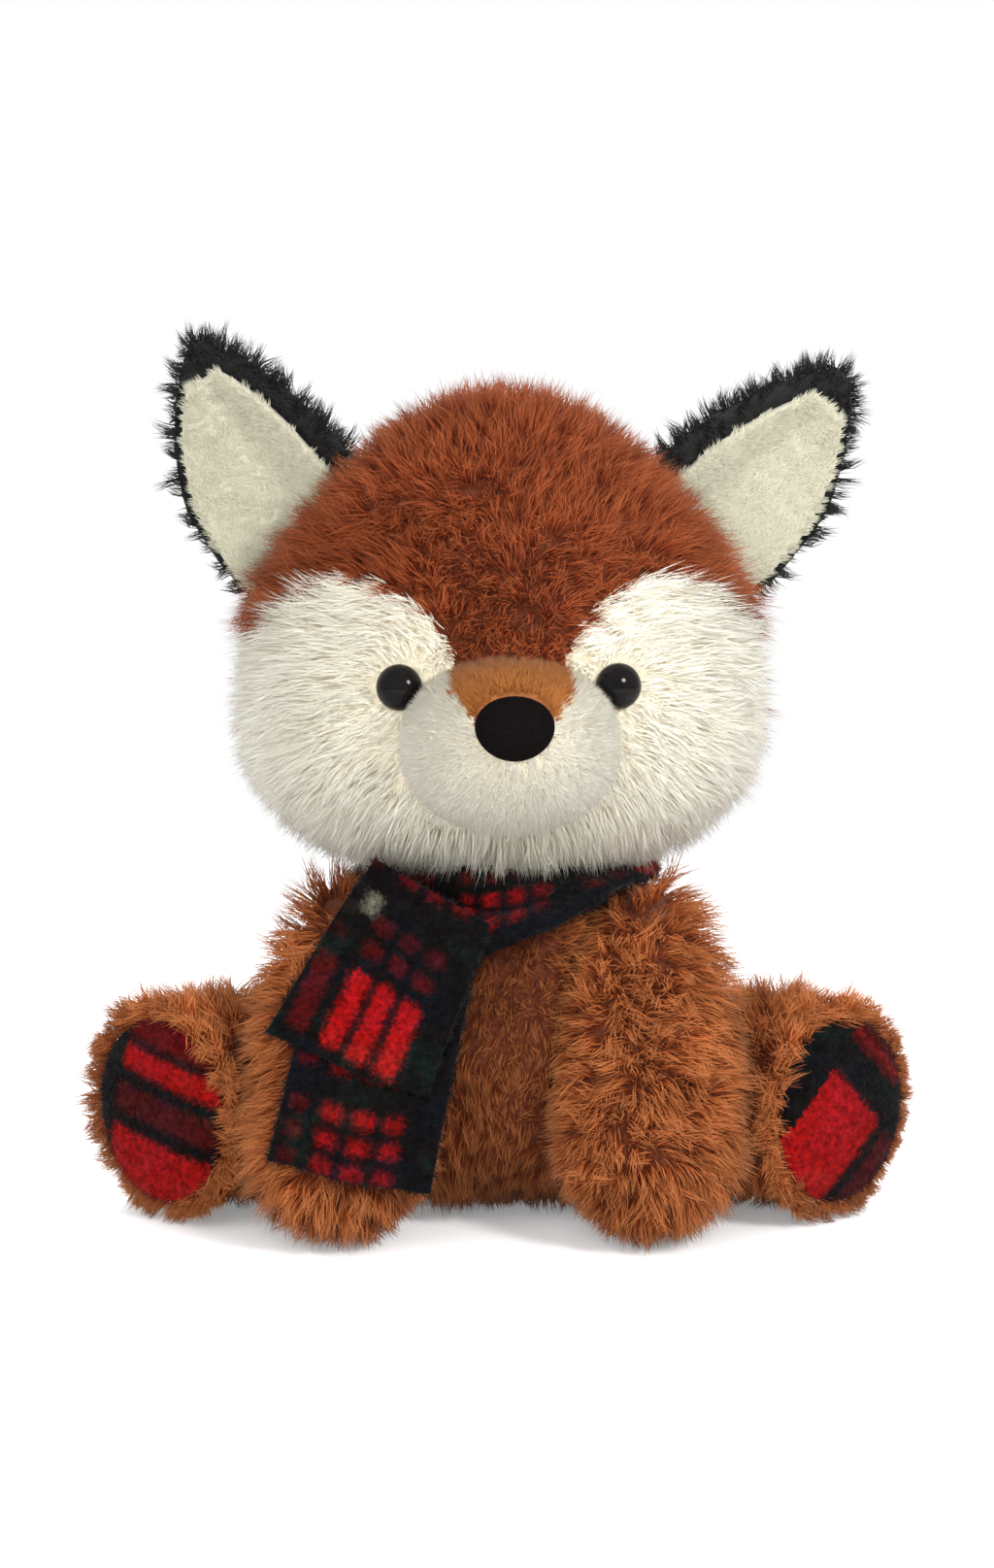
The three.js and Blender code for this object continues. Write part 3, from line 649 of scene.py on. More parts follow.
eyes = {"eye_left": 1, "eye_right": -1}
eye_clear = 6.4 * MM
eye_trim = 15 * MM
eye_behind = 25 * MM
nose_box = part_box("nose")
nose_middle = (nose_box[0] + nose_box[1]) / 2
nose_clear = 8.2 * MM


def panel_of(place, outward):
    if distance(muzzle_skin, place) < muzzle_near:
        point = place + outward * short_probe
        return min(("muzzle", "bridge"), key=lambda k: distance(panels[k], point))
    point = place + outward * probe
    return min(("crown", "cheek_left", "cheek_right"), key=lambda k: distance(panels[k], point))


def eye_shift(places):
    """How far each place is from an eye's axis, and the way from that axis."""
    best = np.full(len(places), 1.0)
    away = np.zeros_like(places)
    for name, side in eyes.items():
        tip, outward = np.array(eye_tip(name, side)), np.array(eye_axis(side))
        rel = places - tip
        flat = rel - np.outer(rel @ outward, outward)
        far = np.linalg.norm(flat, axis=1)
        near = (far < best) & (rel @ outward > -eye_behind)
        best[near] = far[near]
        away[near] = unit(flat[near])
    return best, away


down = np.array([[0, 0, -1.0]])
head_spacing, head_drift = 3.0 * MM, 16 * MM
places, outward = scattered(head_form, head_spacing, 11)
region = np.array([panel_of(Vector(p), Vector(n)) for p, n in zip(places, outward)])
from_eye, off_eye = eye_shift(places)
from_nose = unit(along(outward, places - np.array(nose_middle)))
trim = np.clip((from_eye - eye_clear) / (eye_trim - eye_clear), 0, 1)[:, None]
chaos = along(outward, drift(places, head_drift, 5))
crown_lay = along(outward, 0.30 * down) + 0.62 * chaos + 0.20 * from_nose
cheek_lay = along(outward, 0.36 * down) + 0.50 * from_nose + 0.34 * chaos
cheek_lay = trim * cheek_lay + (1 - trim) * 0.9 * off_eye
muzzle_clearing = 9 * MM
chin_level = 116
chin_depth = 16
chin = np.clip((chin_level - places[:, 2] / MM) / chin_depth, 0, 1) * (places[:, 1] < 0)
by_muzzle = np.array([distance(muzzle_skin, p) for p in places])
muzzle_trim = np.clip(by_muzzle / muzzle_clearing, 0, 1)
full_at, full_height, full_half, side_full = 171, 18, 60, 7.0
back_from, back_blend, crown_back_full = 2, 14, 3.0
cheek_short, cheek_more, chin_more = 6.2, 3.6, 4.5
crown_short, crown_more = 7.8, 3.0
full_level = (places[:, 2] / MM - full_at) / full_height
full_side = side_full * np.exp(-full_level**2) * np.clip(np.abs(places[:, 0]) / MM / full_half, 0, 1) ** 2
full_back = crown_back_full * np.clip((places[:, 1] / MM - back_from) / back_blend, 0, 1)
cheek_length = cheek_short + cheek_more * trim[:, 0] + chin_more * chin + full_side
cheek_length = cheek_length * (0.45 + 0.55 * muzzle_trim) * MM
crown_length = crown_short + crown_more * trim[:, 0] + full_side + full_back
crown_length = crown_length * (0.55 + 0.45 * muzzle_trim) * MM
front = places[:, 1] < back_from * MM
open_eye = from_eye > eye_clear
lot = np.random.default_rng(19).random(len(places))

head_piles = {
    "head_crown_front_pile": (
        (region == "crown") & front & open_eye, crown_lay, crown_length, crown_pile, "head_crown", "rust_plush"),
    "head_crown_back_pile": (
        (region == "crown") & ~front & (lot < back_share), crown_lay, crown_length, crown_pile, None,
        "rust_plush"),
    "head_cheek_left_pile": (
        (region == "cheek_left") & open_eye, cheek_lay, cheek_length, white_pile, "head_cheek_left",
        "white_plush"),
    "head_cheek_right_pile": (
        (region == "cheek_right") & open_eye, cheek_lay, cheek_length, white_pile, "head_cheek_right",
        "white_plush"),
}
for number, (name, (chosen, lay, length, material, node, slot)) in enumerate(head_piles.items()):
    look = cheek_hair if material == white_pile else crown_hair
    if node is None:
        look = {**look, "thick": back_thick}
    # Fur nearer the muzzle is given a lighter tint: painted light round the muzzle and on the brow
    piece = grown(
        name, "head", material, places[chosen], outward[chosen], lay[chosen], length[chosen], look, 20 + number,
        shade=0.3 * (muzzle_trim[chosen] - 1),
    )
    if node:
        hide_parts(node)

# Muzzle
# A short-pile panel over the snout, with a tan piece let in along its top from the brow to the nose.
muzzle_spacing, muzzle_drift, muzzle_hair = 1.35 * MM, 8 * MM, 3.5 * MM
nose_wide, nose_reach = 1.2, 14 * MM
places, outward = scattered(head_form, muzzle_spacing, 12)
near_muzzle = np.array([distance(muzzle_skin, p) < muzzle_near for p in places])
places, outward = places[near_muzzle], outward[near_muzzle]
region = np.array([panel_of(Vector(p), Vector(n)) for p, n in zip(places, outward)])
nose_gap = np.hypot((places[:, 0] - nose_middle.x) / nose_wide, places[:, 2] - nose_middle.z)
bare = (nose_gap > nose_clear) | (places[:, 1] > nose_middle.y + nose_reach)
from_nose = unit(along(outward, places - np.array(nose_middle)))
muzzle_lay = 0.62 * from_nose + 0.2 * along(outward, drift(places, muzzle_drift, 6))
for number, (name, kind, material, node, slot) in enumerate((
    ("muzzle_pile", "muzzle", white_pile, "muzzle", "white_short_plush"),
    ("muzzle_bridge_pile", "bridge", tan_pile, "muzzle_bridge", "tan_short_plush"),
)):
    chosen = (region == kind) & bare
    length = np.full(chosen.sum(), muzzle_hair)
    piece = grown(
        name, "head", material, places[chosen], outward[chosen], muzzle_lay[chosen], length, short_hair,
        30 + number,
    )
    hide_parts(node)

tan_backing = backing_material("tan_backing", paint(0.46, 0.26, 0.12), paint(0.56, 0.34, 0.17))
for material in (rust_backing, white_backing_painted_shade, tan_backing):
    head_form.data.materials.append(material)
backing_of = {"crown": 0, "cheek_left": 1, "cheek_right": 1, "muzzle": 1, "bridge": 2}
for face in head_form.data.polygons:
    face.material_index = backing_of[panel_of(face.center, face.normal)]

# Eyes and nose
# Glossy safety eyes on shanks through the cheeks, and a flocked oval nose on its own shank, each
# locked behind the cloth by a washer.
eye_radius = 6.1 * MM
eye_dome, eye_proud = 5.2 * MM, 0.3 * MM
flock_depth = 0.25 * MM
washer_grain = 300
nose_half = Vector((10.1, 6.6, 8.3)) * MM

eye_gloss = bpy.data.materials.new("eye_gloss")
eye_gloss.use_nodes = True
wires = eye_gloss.node_tree
surface = wires.nodes["Principled BSDF"]
surface.inputs["Roughness"].default_value = 0.03
surface.inputs["Specular IOR Level"].default_value = 0.12
dust = clouds(wires, 260).outputs["Fac"]
colour = ramp(wires, [(0.3, (0.0025, 0.002, 0.002, 1)), (0.8, (0.006, 0.005, 0.0045, 1))], dust)
wires.links.new(colour, surface.inputs["Base Color"])

for name, side in eyes.items():
    bm = bmesh.new()
    bmesh.ops.create_uvsphere(bm, u_segments=64, v_segments=40, radius=eye_radius)
    bmesh.ops.scale(bm, vec=(1, 1, eye_dome / eye_radius), verts=bm.verts)
    outward = eye_axis(side)
    turn = outward.to_track_quat("Z", "Y").to_matrix().to_4x4()
    at = eye_tip(name, side) - outward * (eye_dome - eye_proud)
    bmesh.ops.transform(bm, matrix=Matrix.Translation(at) @ turn, verts=bm.verts)
    mesh = meshed(name + "_dome", bm, smooth=True)
    mesh.materials.append(eye_gloss)
    dome = made(name + "_dome", mesh, "head")
    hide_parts(name)

flock, wires, surface = shell("nose_flock", 0.95, 0, specular=0.02)
fuzz = clouds(wires, 2600, 3).outputs["Fac"]
colour = ramp(wires, [(0.35, (0.0022, 0.0018, 0.0018, 1)), (0.7, (0.006, 0.005, 0.0048, 1))], fuzz)
finished(wires, surface, colour, fuzz, flock_depth)

bm = bmesh.new()
bmesh.ops.create_uvsphere(bm, u_segments=64, v_segments=40, radius=1)
for vert in bm.verts:
    vert.co.x *= 1 + 0.06 * vert.co.z
bmesh.ops.scale(bm, vec=nose_half, verts=bm.verts)
nose_at = Vector((nose_middle.x, nose_box[0].y + nose_half.y, nose_middle.z))
bmesh.ops.translate(bm, vec=nose_at, verts=bm.verts)
mesh = meshed("nose_flocked", bm, smooth=True)
mesh.materials.append(flock)
nose = made("nose_flocked", mesh, "head")
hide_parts("nose")

washer_look = backing_material("washer_plastic", paint(0.80, 0.80, 0.78), paint(0.86, 0.86, 0.84), washer_grain)
for name in ("nose_washer", "eye_washer_left", "eye_washer_right"):
    dressed(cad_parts[name], washer_look)

# Ears
# Black long-pile backs that wrap the rim, with cream short-pile linings sewn in the hollow fronts.
ear_hair = {
    "hairs": 11, "under": 9, "under_share": 0.75, "spread": 1.7 * MM, "stray": 0.30, "uneven": 0.25,
    "loose": 0.20, "rooted": 0.5 * MM, "gather": 0.50, "thick": 0.15 * MM, "patch": 8 * MM, "soft": 0.3,
}
ear_lean = {"left": 44, "right": 31}
ear_length, ear_embed, ear_half = 74, 12, 25
ear_widths = (0.92, 1, 1.01, 0.95, 0.8, 0.54, 0.12)
ear_hollow, ear_bow, ear_out = 6, 3, math.radians(12)
ear_root_rise = 0.53 * head_shape["up"]
ear_root_across = 0.92 * head_shape["half_width"] * fullness(head_shape, ear_root_rise, 0)
ear_root_y = 4
lining_rim, lining_end, lining_thick = 6.6, 0.86, 1.6
lining_off = 1.4
lining_shift = 3.4
crease_at, crease_width, crease_depth = 0.30, 0.34, 1.8
velour_depth = 0.5 * MM
lining_spacing, lining_drift, lining_hair, lining_clear = 1.45 * MM, 12 * MM, 2.6 * MM, 1 * MM
back_spacing, back_drift, back_front_hair, back_hair = 2.65 * MM, 10 * MM, 4.5, 6.8
back_voxel, back_thin, back_probe, back_clear = 1.4 * MM, 1.5 * MM, 3 * MM, 2.2 * MM
black_pile = pile_material(
    "black_pile", (0.004, 0.004, 0.004, 1), (0.012, 0.011, 0.011, 1), (0.035, 0.033, 0.032, 1), 0.7, 1.4,
)
black_backing = backing_material("black_backing", grey(0.005), grey(0.012))


def velour(name, dark, light):
    """Short clipped pile: fine speckle with brushed patches."""
    material, wires, surface = shell(name, 0.85, 0.4)
    speck, brushed = clouds(wires, 1500, 3).outputs["Fac"], clouds(wires, 110).outputs["Fac"]
    total = shader(wires, "Math", {0: speck, 1: 0.5, 2: brushed}, operation="MULTIPLY_ADD").outputs[0]
    finished(wires, surface, ramp(wires, [(0.55, dark), (0.95, light)], total), total, velour_depth)
    return material


# The lining's velour is darker than its cream nap: painted shade for the cloth seen between the nap's hairs
cream_velour_painted_shade = velour("cream_velour_painted_shade", paint(0.62, 0.607, 0.535), paint(0.68, 0.667, 0.59))
cream_pile = pile_material(
    "cream_pile", paint(0.685, 0.672, 0.59), paint(0.745, 0.733, 0.65), paint(0.805, 0.797, 0.72), 0.94, 1.0,
)
head_skin = skin_tree(head_form.data)


def ear_width(v):
    """Half the ear's width at a share of its length, with its corners rounded off."""
    steps = np.linspace(0, 1, len(ear_widths))
    return ear_half * np.mean([np.interp(v + d, steps, ear_widths) for d in (-0.08, -0.04, 0, 0.04, 0.08)])


def ear_place(side, lean):
    """The ear's own frame: x across it, z along it and y to its back, from its root on the head."""
    root = Vector((side * ear_root_across, ear_root_y, head_shape["at"][2] + ear_root_rise))
    tilt = Matrix.Rotation(side * lean, 4, "Y") @ Matrix.Rotation(side * ear_out, 4, "Z")
    return Matrix.Scale(MM, 4) @ Matrix.Translation(neck + head_turn @ root) @ head_turn @ tilt


for side_name, side in (("left", 1), ("right", -1)):
    back_node, lining_node = f"ear_{side_name}_back", f"ear_{side_name}_lining"
    ear_body = f"ear_{side_name}"
    lean = math.radians(ear_lean[side_name])
    bm = bmesh.new()
    bmesh.ops.create_grid(bm, x_segments=22, y_segments=34, size=1)
    for vert in bm.verts:
        u, v = vert.co.x, (vert.co.y + 1) / 2 * lining_end
        half = ear_width(v)
        across = max(half - lining_rim, lining_rim / 4) * u
        across += side * lining_shift * (1 - 0.6 * v)
        share = across / half
        inner = (-side * u - crease_at) / crease_width
        crease = crease_depth * math.exp(-inner * inner) * math.sin(math.pi * min(1, v / lining_end)) ** 0.5
        depth = ear_hollow * ear_width(v) / ear_half * (1 - share * share) - lining_off + crease
        along_ear = v * ear_length - ear_embed
        vert.co = Vector((side * ear_bow * math.sin(math.pi * v) + across, depth, along_ear))
    bmesh.ops.transform(bm, matrix=ear_place(side, lean), verts=bm.verts)
    lining = made(lining_node + "_cloth", meshed(lining_node + "_cloth", bm), ear_body)
    thick = lining.modifiers.new("thick", "SOLIDIFY")
    thick.thickness = lining_thick * MM
    thick.offset = 0
    settled(lining)
    dressed(lining, cream_velour_painted_shade)
    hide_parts(lining_node)

    places, outward = scattered(lining, lining_spacing, 36 + side)
    nearest = [head_skin.find_nearest(Vector(p)) for p in places]
    off_head = np.array([(Vector(p) - near).dot(facing) for p, (near, facing, _, _) in zip(places, nearest)])
    ahead = (outward @ np.array(ear_place(side, lean).to_3x3() @ Vector((0, -1, 0))) > 0.4 * MM)
    ahead &= off_head > lining_clear
    places, outward = places[ahead], outward[ahead]
    tipward = np.array([[side * math.sin(lean), 0, math.cos(lean)]])
    lay = along(outward, 0.7 * tipward) + 0.15 * along(outward, drift(places, lining_drift, 15))
    length = np.full(len(places), lining_hair)
    nap = grown(lining_node + "_nap", ear_body, cream_pile, places, outward, lay, length, short_hair, 38 + side)

    bm = bmesh.new()
    bm.from_mesh(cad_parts[back_node].data)
    bmesh.ops.remove_doubles(bm, verts=bm.verts, dist=weld)
    back = placed(back_node + "_cloth", meshed(back_node + "_cloth", bm))
    grain = back.modifiers.new("grain", "REMESH")
    grain.mode = "VOXEL"
    grain.voxel_size = back_voxel
    thin = back.modifiers.new("thin", "DISPLACE")
    thin.strength = -back_thin
    thin.mid_level = 0
    soften = back.modifiers.new("soften", "SMOOTH")
    soften.iterations = 6
    settled(back)
    dressed(back, black_backing)
    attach(back, ear_body)
    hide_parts(back_node)

    lining_tree = skin_tree(lining.data)
    places, outward = scattered(back, back_spacing, 40 + side)
    clear = np.array([distance(lining_tree, p + back_probe * n) for p, n in zip(places, outward)])
    chosen = clear > back_clear
    places, outward = places[chosen], outward[chosen]
    middle = places.mean(axis=0)
    rel = places - middle
    sideways = rel - (rel @ tipward[0])[:, None] * tipward
    lay = along(outward, 0.45 * tipward) + 0.25 * along(outward, unit(sideways))
    lay += 0.35 * along(outward, drift(places, back_drift, 7))
    ahead = outward[:, 1] < -0.25
    length = np.where(ahead, back_front_hair, back_hair) * MM
    pile = grown(back_node + "_pile", ear_body, black_pile, places, outward, lay, length, ear_hair, 42 + side)

# Body
# A rust long-pile skin round the filling, with a pouch of pellets in the seat.
body_voxel = 5 * MM
body_pile = pile_material(
    "rust_body_pile", paint(0.25, 0.10, 0.042), paint(0.535, 0.262, 0.122), paint(0.71, 0.455, 0.27), 0.54, 1.32,
)
body_shape = {
    "at": (0, 4, 34), "half_width": 50, "half_depth": 46, "up": 80, "down": 34.5, "powers": (1.7, 2.8),
}
clear_probe, clear_least = 2 * MM, 1.2 * MM
body_spacing, body_drift = 3.18 * MM, 15 * MM
body_middle, neck_level, scarf_level = 4 * MM, 101 * MM, 79 * MM
body_hair, body_back_full, scarf_hair = 11.5, 3.5, 4.0
# Where the hollow between the arms lies, in mm, and how much shorter its hair is; its colour is also darkened there
# as painted shade
gap_at, gap_width, gap_less = 2, 16, 5.0
bag_grain = 2000
body_form = stuffed("body_filling", body_shape, long_inset, body_voxel)
body_tree = skin_tree(body_form.data)
body_form.data.materials.append(rust_backing)
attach(body_form, "torso")
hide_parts("body_stuffing")


def outside(places, outward, others, behind=math.inf):
    """The places that stand clear of other forms, fewer of them behind a given depth."""
    lot = np.random.default_rng(len(places)).random(len(places))
    kept = (places[:, 1] < behind) | (lot < back_share)
    places, outward = places[kept], outward[kept]
    kept = []
    for place, way in zip(places, outward):
        point = Vector(place) + Vector(way) * clear_probe
        clear = True
        for other in others:
            near, facing, _, _ = other.find_nearest(point)
            clear = clear and (point - near).dot(facing) > clear_least
        kept.append(clear)
    kept = np.array(kept)
    return places[kept], outward[kept]


places, outward = scattered(body_form, body_spacing, 51)
lay = along(outward, 0.55 * down) + 0.75 * along(outward, drift(places, body_drift, 8))
front = places[:, 1] < body_middle
shown = places[:, 2] < neck_level
lot = np.random.default_rng(50).random(len(places))
for number, (name, chosen, node) in enumerate((
    ("body_front_pile", front & shown, "body_cover"), ("body_back_pile", ~front & shown & (lot < back_share), None),
)):
    # gap marks the hollow between the arms: its hair is shorter, and its colour is darkened there as painted shade
    gap = np.exp(-(((places[chosen, 0] / MM - gap_at) / gap_width) ** 2)) * (places[chosen, 1] < 0)
    full_back = body_back_full * np.clip((places[chosen, 1] / MM - back_from) / back_blend, 0, 1)
    low_hair = body_hair - gap_less * gap + full_back
    length = np.where(places[chosen, 2] > scarf_level, scarf_hair, low_hair) * MM
    look = long_hair if node else {**long_hair, "thick": back_thick}
    # The gap's darker tint is painted shade between the arms
    piece = grown(
        name, "torso", body_pile, places[chosen], outward[chosen], lay[chosen], length, look, 52 + number,
        shade=0.75 * gap,
    )
    if node:
        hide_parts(node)

bag_cloth = backing_material("bag_cloth", paint(0.74, 0.70, 0.63), paint(0.83, 0.80, 0.74), bag_grain)
dressed(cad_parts["pellet_pouch"], bag_cloth)

# Scarf
# A strip of printed tartan fleece, wound once round the neck; both ends hang over the right arm.
fleece_thick = 2.8 * MM
wave_height = 1.1 * MM
curl_height = 1.6 * MM
tuck_depth, tuck_share = 5 * MM, 0.16
pile_reach = 15 * MM
pile_least = 3 * MM
pile_room = 1.1
fleece_edge, fleece_depth = 0.9 * MM, 0.6 * MM
bar_blur, print_wobble = 1.2, 4.4
ray_from, near_front = 200 * MM, 50 * MM
scarf_ends = {
    "scarf_end_over": {
        "x": -18, "top": 94.6, "slant": 27, "length": 51.7, "top_width": 34, "end_width": 45,
        "columns": 36, "rows": 48, "shift": (21.6, -5.7), "wave": 0.1, "skew": 0.09},
    "scarf_end_under": {
        "x": -28, "top": 74, "slant": 13, "length": 53, "top_width": 41, "end_width": 43,
        "columns": 36, "rows": 44, "shift": (22.5, 13.5), "wave": 0.55, "skew": 0.02},
}
red = paint(0.52, 0.015, 0.02)
dull_red = paint(0.28, 0.02, 0.025)
night = paint(0.04, 0.047, 0.066)
pine = paint(0.045, 0.078, 0.07)
ink = paint(0.045, 0.03, 0.03)
pale = paint(0.42, 0.41, 0.35)


def bars(wires, coordinate, stops):
    """Printed bars along one thread: a repeat of (where it starts in mm, how bright) over the sett."""
    sett = stops[-1][0]
    scaled = shader(wires, "Math", {0: coordinate, 1: sett}, operation="DIVIDE")
    wrapped = shader(wires, "Math", {0: scaled.outputs[0]}, operation="FRACT")
    shades = []
    for (start, shade), (following, _) in zip(stops, stops[1:]):
        edge = min(bar_blur, 0.4 * (following - start))
        shades += [((start + edge) / sett, grey(shade)), ((following - edge) / sett, grey(shade))]
    return ramp(wires, shades, wrapped.outputs[0])


def tartan(name, warp_bars, weft_bars, pale_bars=None):
    """Red ground crossed by dark bands; where two bands cross, the red narrows to small squares."""
    material, wires, surface = shell(name, 0.92, 0.04, specular=0.04)
    layout = shader(wires, "UVMap", uv_map=cloth_map)
    wobble = clouds(wires, 800, 3)
    centred = shader(wires, "VectorMath", {0: wobble.outputs["Color"], 1: (0.5, 0.5, 0.5)}, operation="SUBTRACT")
    small = shader(
        wires, "VectorMath", {0: centred.outputs[0], 1: (print_wobble, print_wobble, 0), 2: layout.outputs["UV"]},
        operation="MULTIPLY_ADD",
    )
    split = shader(wires, "SeparateXYZ", {0: small.outputs[0]})
    along_warp, along_weft = split.outputs["X"], split.outputs["Y"]
    cross = blended(wires, "MULTIPLY", bars(wires, along_warp, warp_bars), bars(wires, along_weft, weft_bars))
    patches = clouds(wires, 60).outputs["Fac"]
    dark = ramp(wires, [(0.40, night), (0.52, ink), (0.64, pine)], patches)
    reds = ramp(wires, [(0.06, grey(0)), (0.5, dull_red), (0.95, red)], cross)
    printed = blended(wires, "LIGHTEN", reds, dark)
    if pale_bars:
        spot = [bars(wires, way, stops) for way, stops in zip((along_warp, along_weft), pale_bars)]
        printed = blended(wires, "MIX", printed, pale, blended(wires, "MULTIPLY", *spot))
    nap = clouds(wires, 700, 4).outputs["Fac"]
    worn = blended(wires, "MULTIPLY", printed, ramp(wires, [(0.32, grey(0.50)), (0.66, grey(1.2))], nap))
    finished(wires, surface, worn, nap, fleece_depth)
    return material


scarf_warp = [
    (0, 0.04), (2.6, 0.42), (8.4, 0.04), (12.4, 1.0), (18.2, 0.16), (20.0, 1.0), (25.8, 0.16), (27.6, 0.95),
    (33.4, 0.04), (46, 0),
]
scarf_weft = [
    (0, 0.05), (6, 0.34), (10.5, 0.06), (13.5, 0.40), (18, 0.06), (22, 1.0), (41.5, 0.05), (49, 0.80),
    (53, 0.10), (55.5, 0.80), (59.5, 0.10), (62, 0.66), (66, 0.08), (68.5, 0.5), (72.5, 0.05), (76, 0),
]
pale_warp = [(0, 0), (8.4, 0.9), (11.8, 0), (46, 0)]
pale_weft = [(0, 0), (0.6, 0.9), (7.4, 0), (76, 0)]
fleece = tartan("tartan_fleece", scarf_warp, scarf_weft, (pale_warp, pale_weft))
turn_fleece = tartan("tartan_turn_fleece", scarf_warp, scarf_weft)

scarf_trees = []


def printed_on(bm, layer, spot, shift):
    """Lays the print on a cloth, from each corner's own place on its strip in mm."""
    for face in bm.faces:
        for loop in face.loops:
            u, v = spot[loop.vert]
            loop[layer].uv = (u + shift[0], v + shift[1])


def soft_cloth(cloth):
    """Gives a draped surface its thickness and rounds its cut edges."""
    wall = cloth.modifiers.new("wall", "SOLIDIFY")
    wall.thickness = fleece_thick
    wall.offset = 0
    edge = cloth.modifiers.new("edge", "BEVEL")
    edge.width = fleece_edge
    edge.segments = 3
    settled(cloth)
    scarf_trees.append(skin_tree(cloth.data))


fleece_nap = {
    "hairs": 0, "under": 8, "under_share": 1.0, "spread": 1.2 * MM, "stray": 0.6, "uneven": 0.3,
    "loose": 0.8, "rooted": 0.2 * MM, "gather": 0, "thick": 0.13 * MM, "patch": 9 * MM, "soft": 0.5,
}
nap_spacing, nap_length = 2.0 * MM, 2.1 * MM


def napped(cloth, body, material, seed, shown):
    """The brushed nap of a fleece, printed like the cloth under it."""
    places, outward, prints = scattered(cloth, nap_spacing, seed, cloth_map)
    kept = shown(places, outward)
    places, outward, prints = places[kept], outward[kept], prints[kept]
    lay = along(outward, 0.5 * down)
    length = np.full(len(places), nap_length)
    nap = grown(cloth.name + "_nap", body, material, places, outward, lay, length, fleece_nap, seed, prints)
    return nap


for name, end in scarf_ends.items():
    tree = tree_of(name)
    slant = math.radians(end["slant"])
    fall = Vector((-math.sin(slant), 0, -math.cos(slant)))
    side_way = Vector((math.cos(slant), 0, -math.sin(slant)))
    top = Vector((end["x"], 0, end["top"])) * MM
    bm = bmesh.new()
    bmesh.ops.create_grid(bm, x_segments=end["columns"], y_segments=end["rows"], size=1)
    layer = bm.loops.layers.uv.new(cloth_map)
    spot = {}
    for vert in bm.verts:
        u, v = vert.co.x, (1 - vert.co.y) / 2
        half = (end["top_width"] * (1 - v) + end["end_width"] * v) / 2 * MM
        fallen = v * end["length"] * (1 - end["skew"] * (u + 1) / 2)
        at = top + fall * (fallen * MM) + side_way * (u * half)
        start = Vector((at.x, -ray_from, at.z))
        hit = tree.ray_cast(start, Vector((0, 1, 0)))[0]
        if hit is None:
            hit = tree.find_nearest(Vector((at.x, -near_front, at.z)))[0]
        spot[vert] = (u * half / MM, fallen)
        wave = wave_height * math.sin(2 * math.pi * (u * 0.9 + 0.35 * v + end["wave"])) * min(1, 2.5 * v)
        curl = curl_height * max(0, abs(u) - 0.75) * 4 * v
        tuck = tuck_depth * max(0, 1 - v / tuck_share) ** 2
        vert.co = Vector((at.x, hit.y + fleece_thick / 2 + wave - curl + tuck, at.z))
    for _ in range(10):
        bmesh.ops.smooth_vert(bm, verts=bm.verts, factor=0.5, use_axis_y=True)
    printed_on(bm, layer, spot, end["shift"])
    cloth = made(name + "_cloth", meshed(name + "_cloth", bm), "scarf_ends")
    cloth.data.materials.append(fleece)
    soft_cloth(cloth)
    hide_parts(name)
    nap = napped(cloth, "scarf_ends", fleece, 90 + len(scarf_trees), lambda places, outward: outward[:, 1] < 0.3)

collar_at = Vector((0, 1, 98.5))
collar_half, collar_deep = 31.5, 33 / 31
collar_height, collar_flare = 16, 10.5
collar_dip, collar_dip_turn = 7, math.radians(250)
collar_rise, collar_rise_turn = 0.75, math.radians(-28)
collar_fold, collar_folds = 2.2, 1.7
collar_strip = 42
collar_print_shift = (1, 41.7)
bm = bmesh.new()
bmesh.ops.create_grid(bm, x_segments=120, y_segments=22, size=1)
layer = bm.loops.layers.uv.new(cloth_map)
spot = {}
for vert in bm.verts:
    turn, t = math.pi * vert.co.x, (1 - vert.co.y) / 2
    bunch = noise.noise(Vector((2.2 * math.cos(turn), 2.2 * math.sin(turn), 1.6 * t)))
    phase = collar_folds * t + 0.22 * math.sin(2 * turn + 1) + 0.35 * bunch
    radius = collar_half + collar_flare * t + collar_fold * math.sin(2 * math.pi * phase)
    dip = collar_dip * max(0, math.cos(turn - collar_dip_turn)) ** 2 * t
    rise = collar_rise * max(0, math.cos(turn - collar_rise_turn)) ** 2
    level = -collar_height * t * (1 - rise) - dip * (1 - rise) + 1.2 * bunch
    spot[vert] = (t * collar_strip, turn * (collar_half + collar_flare / 2))
    around_neck = Vector((radius * math.cos(turn), radius * collar_deep * math.sin(turn), level))
    vert.co = (collar_at + around_neck) * MM
printed_on(bm, layer, spot, collar_print_shift)
bmesh.ops.remove_doubles(bm, verts=bm.verts, dist=weld)
bmesh.ops.recalc_face_normals(bm, faces=bm.faces)
collar = made("scarf_collar_cloth", meshed("scarf_collar_cloth", bm), "torso")
collar.data.materials.append(turn_fleece)
soft_cloth(collar)
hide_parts("scarf_collar")
nap = napped(
    collar, "torso", turn_fleece, 95, lambda places, outward: (outward[:, :2] * places[:, :2]).sum(axis=1) > 0,
)


def pressed(places, outward, length):
    """Pile under the scarf lies flatter than the room that the cloth leaves it."""
    short = length.copy()
    for i, (place, way) in enumerate(zip(places, outward)):
        for tree in scarf_trees:
            far = tree.ray_cast(Vector(place), Vector(way), pile_reach)[3]
            if far is not None:
                short[i] = min(short[i], max(pile_least, far * pile_room))
    return short


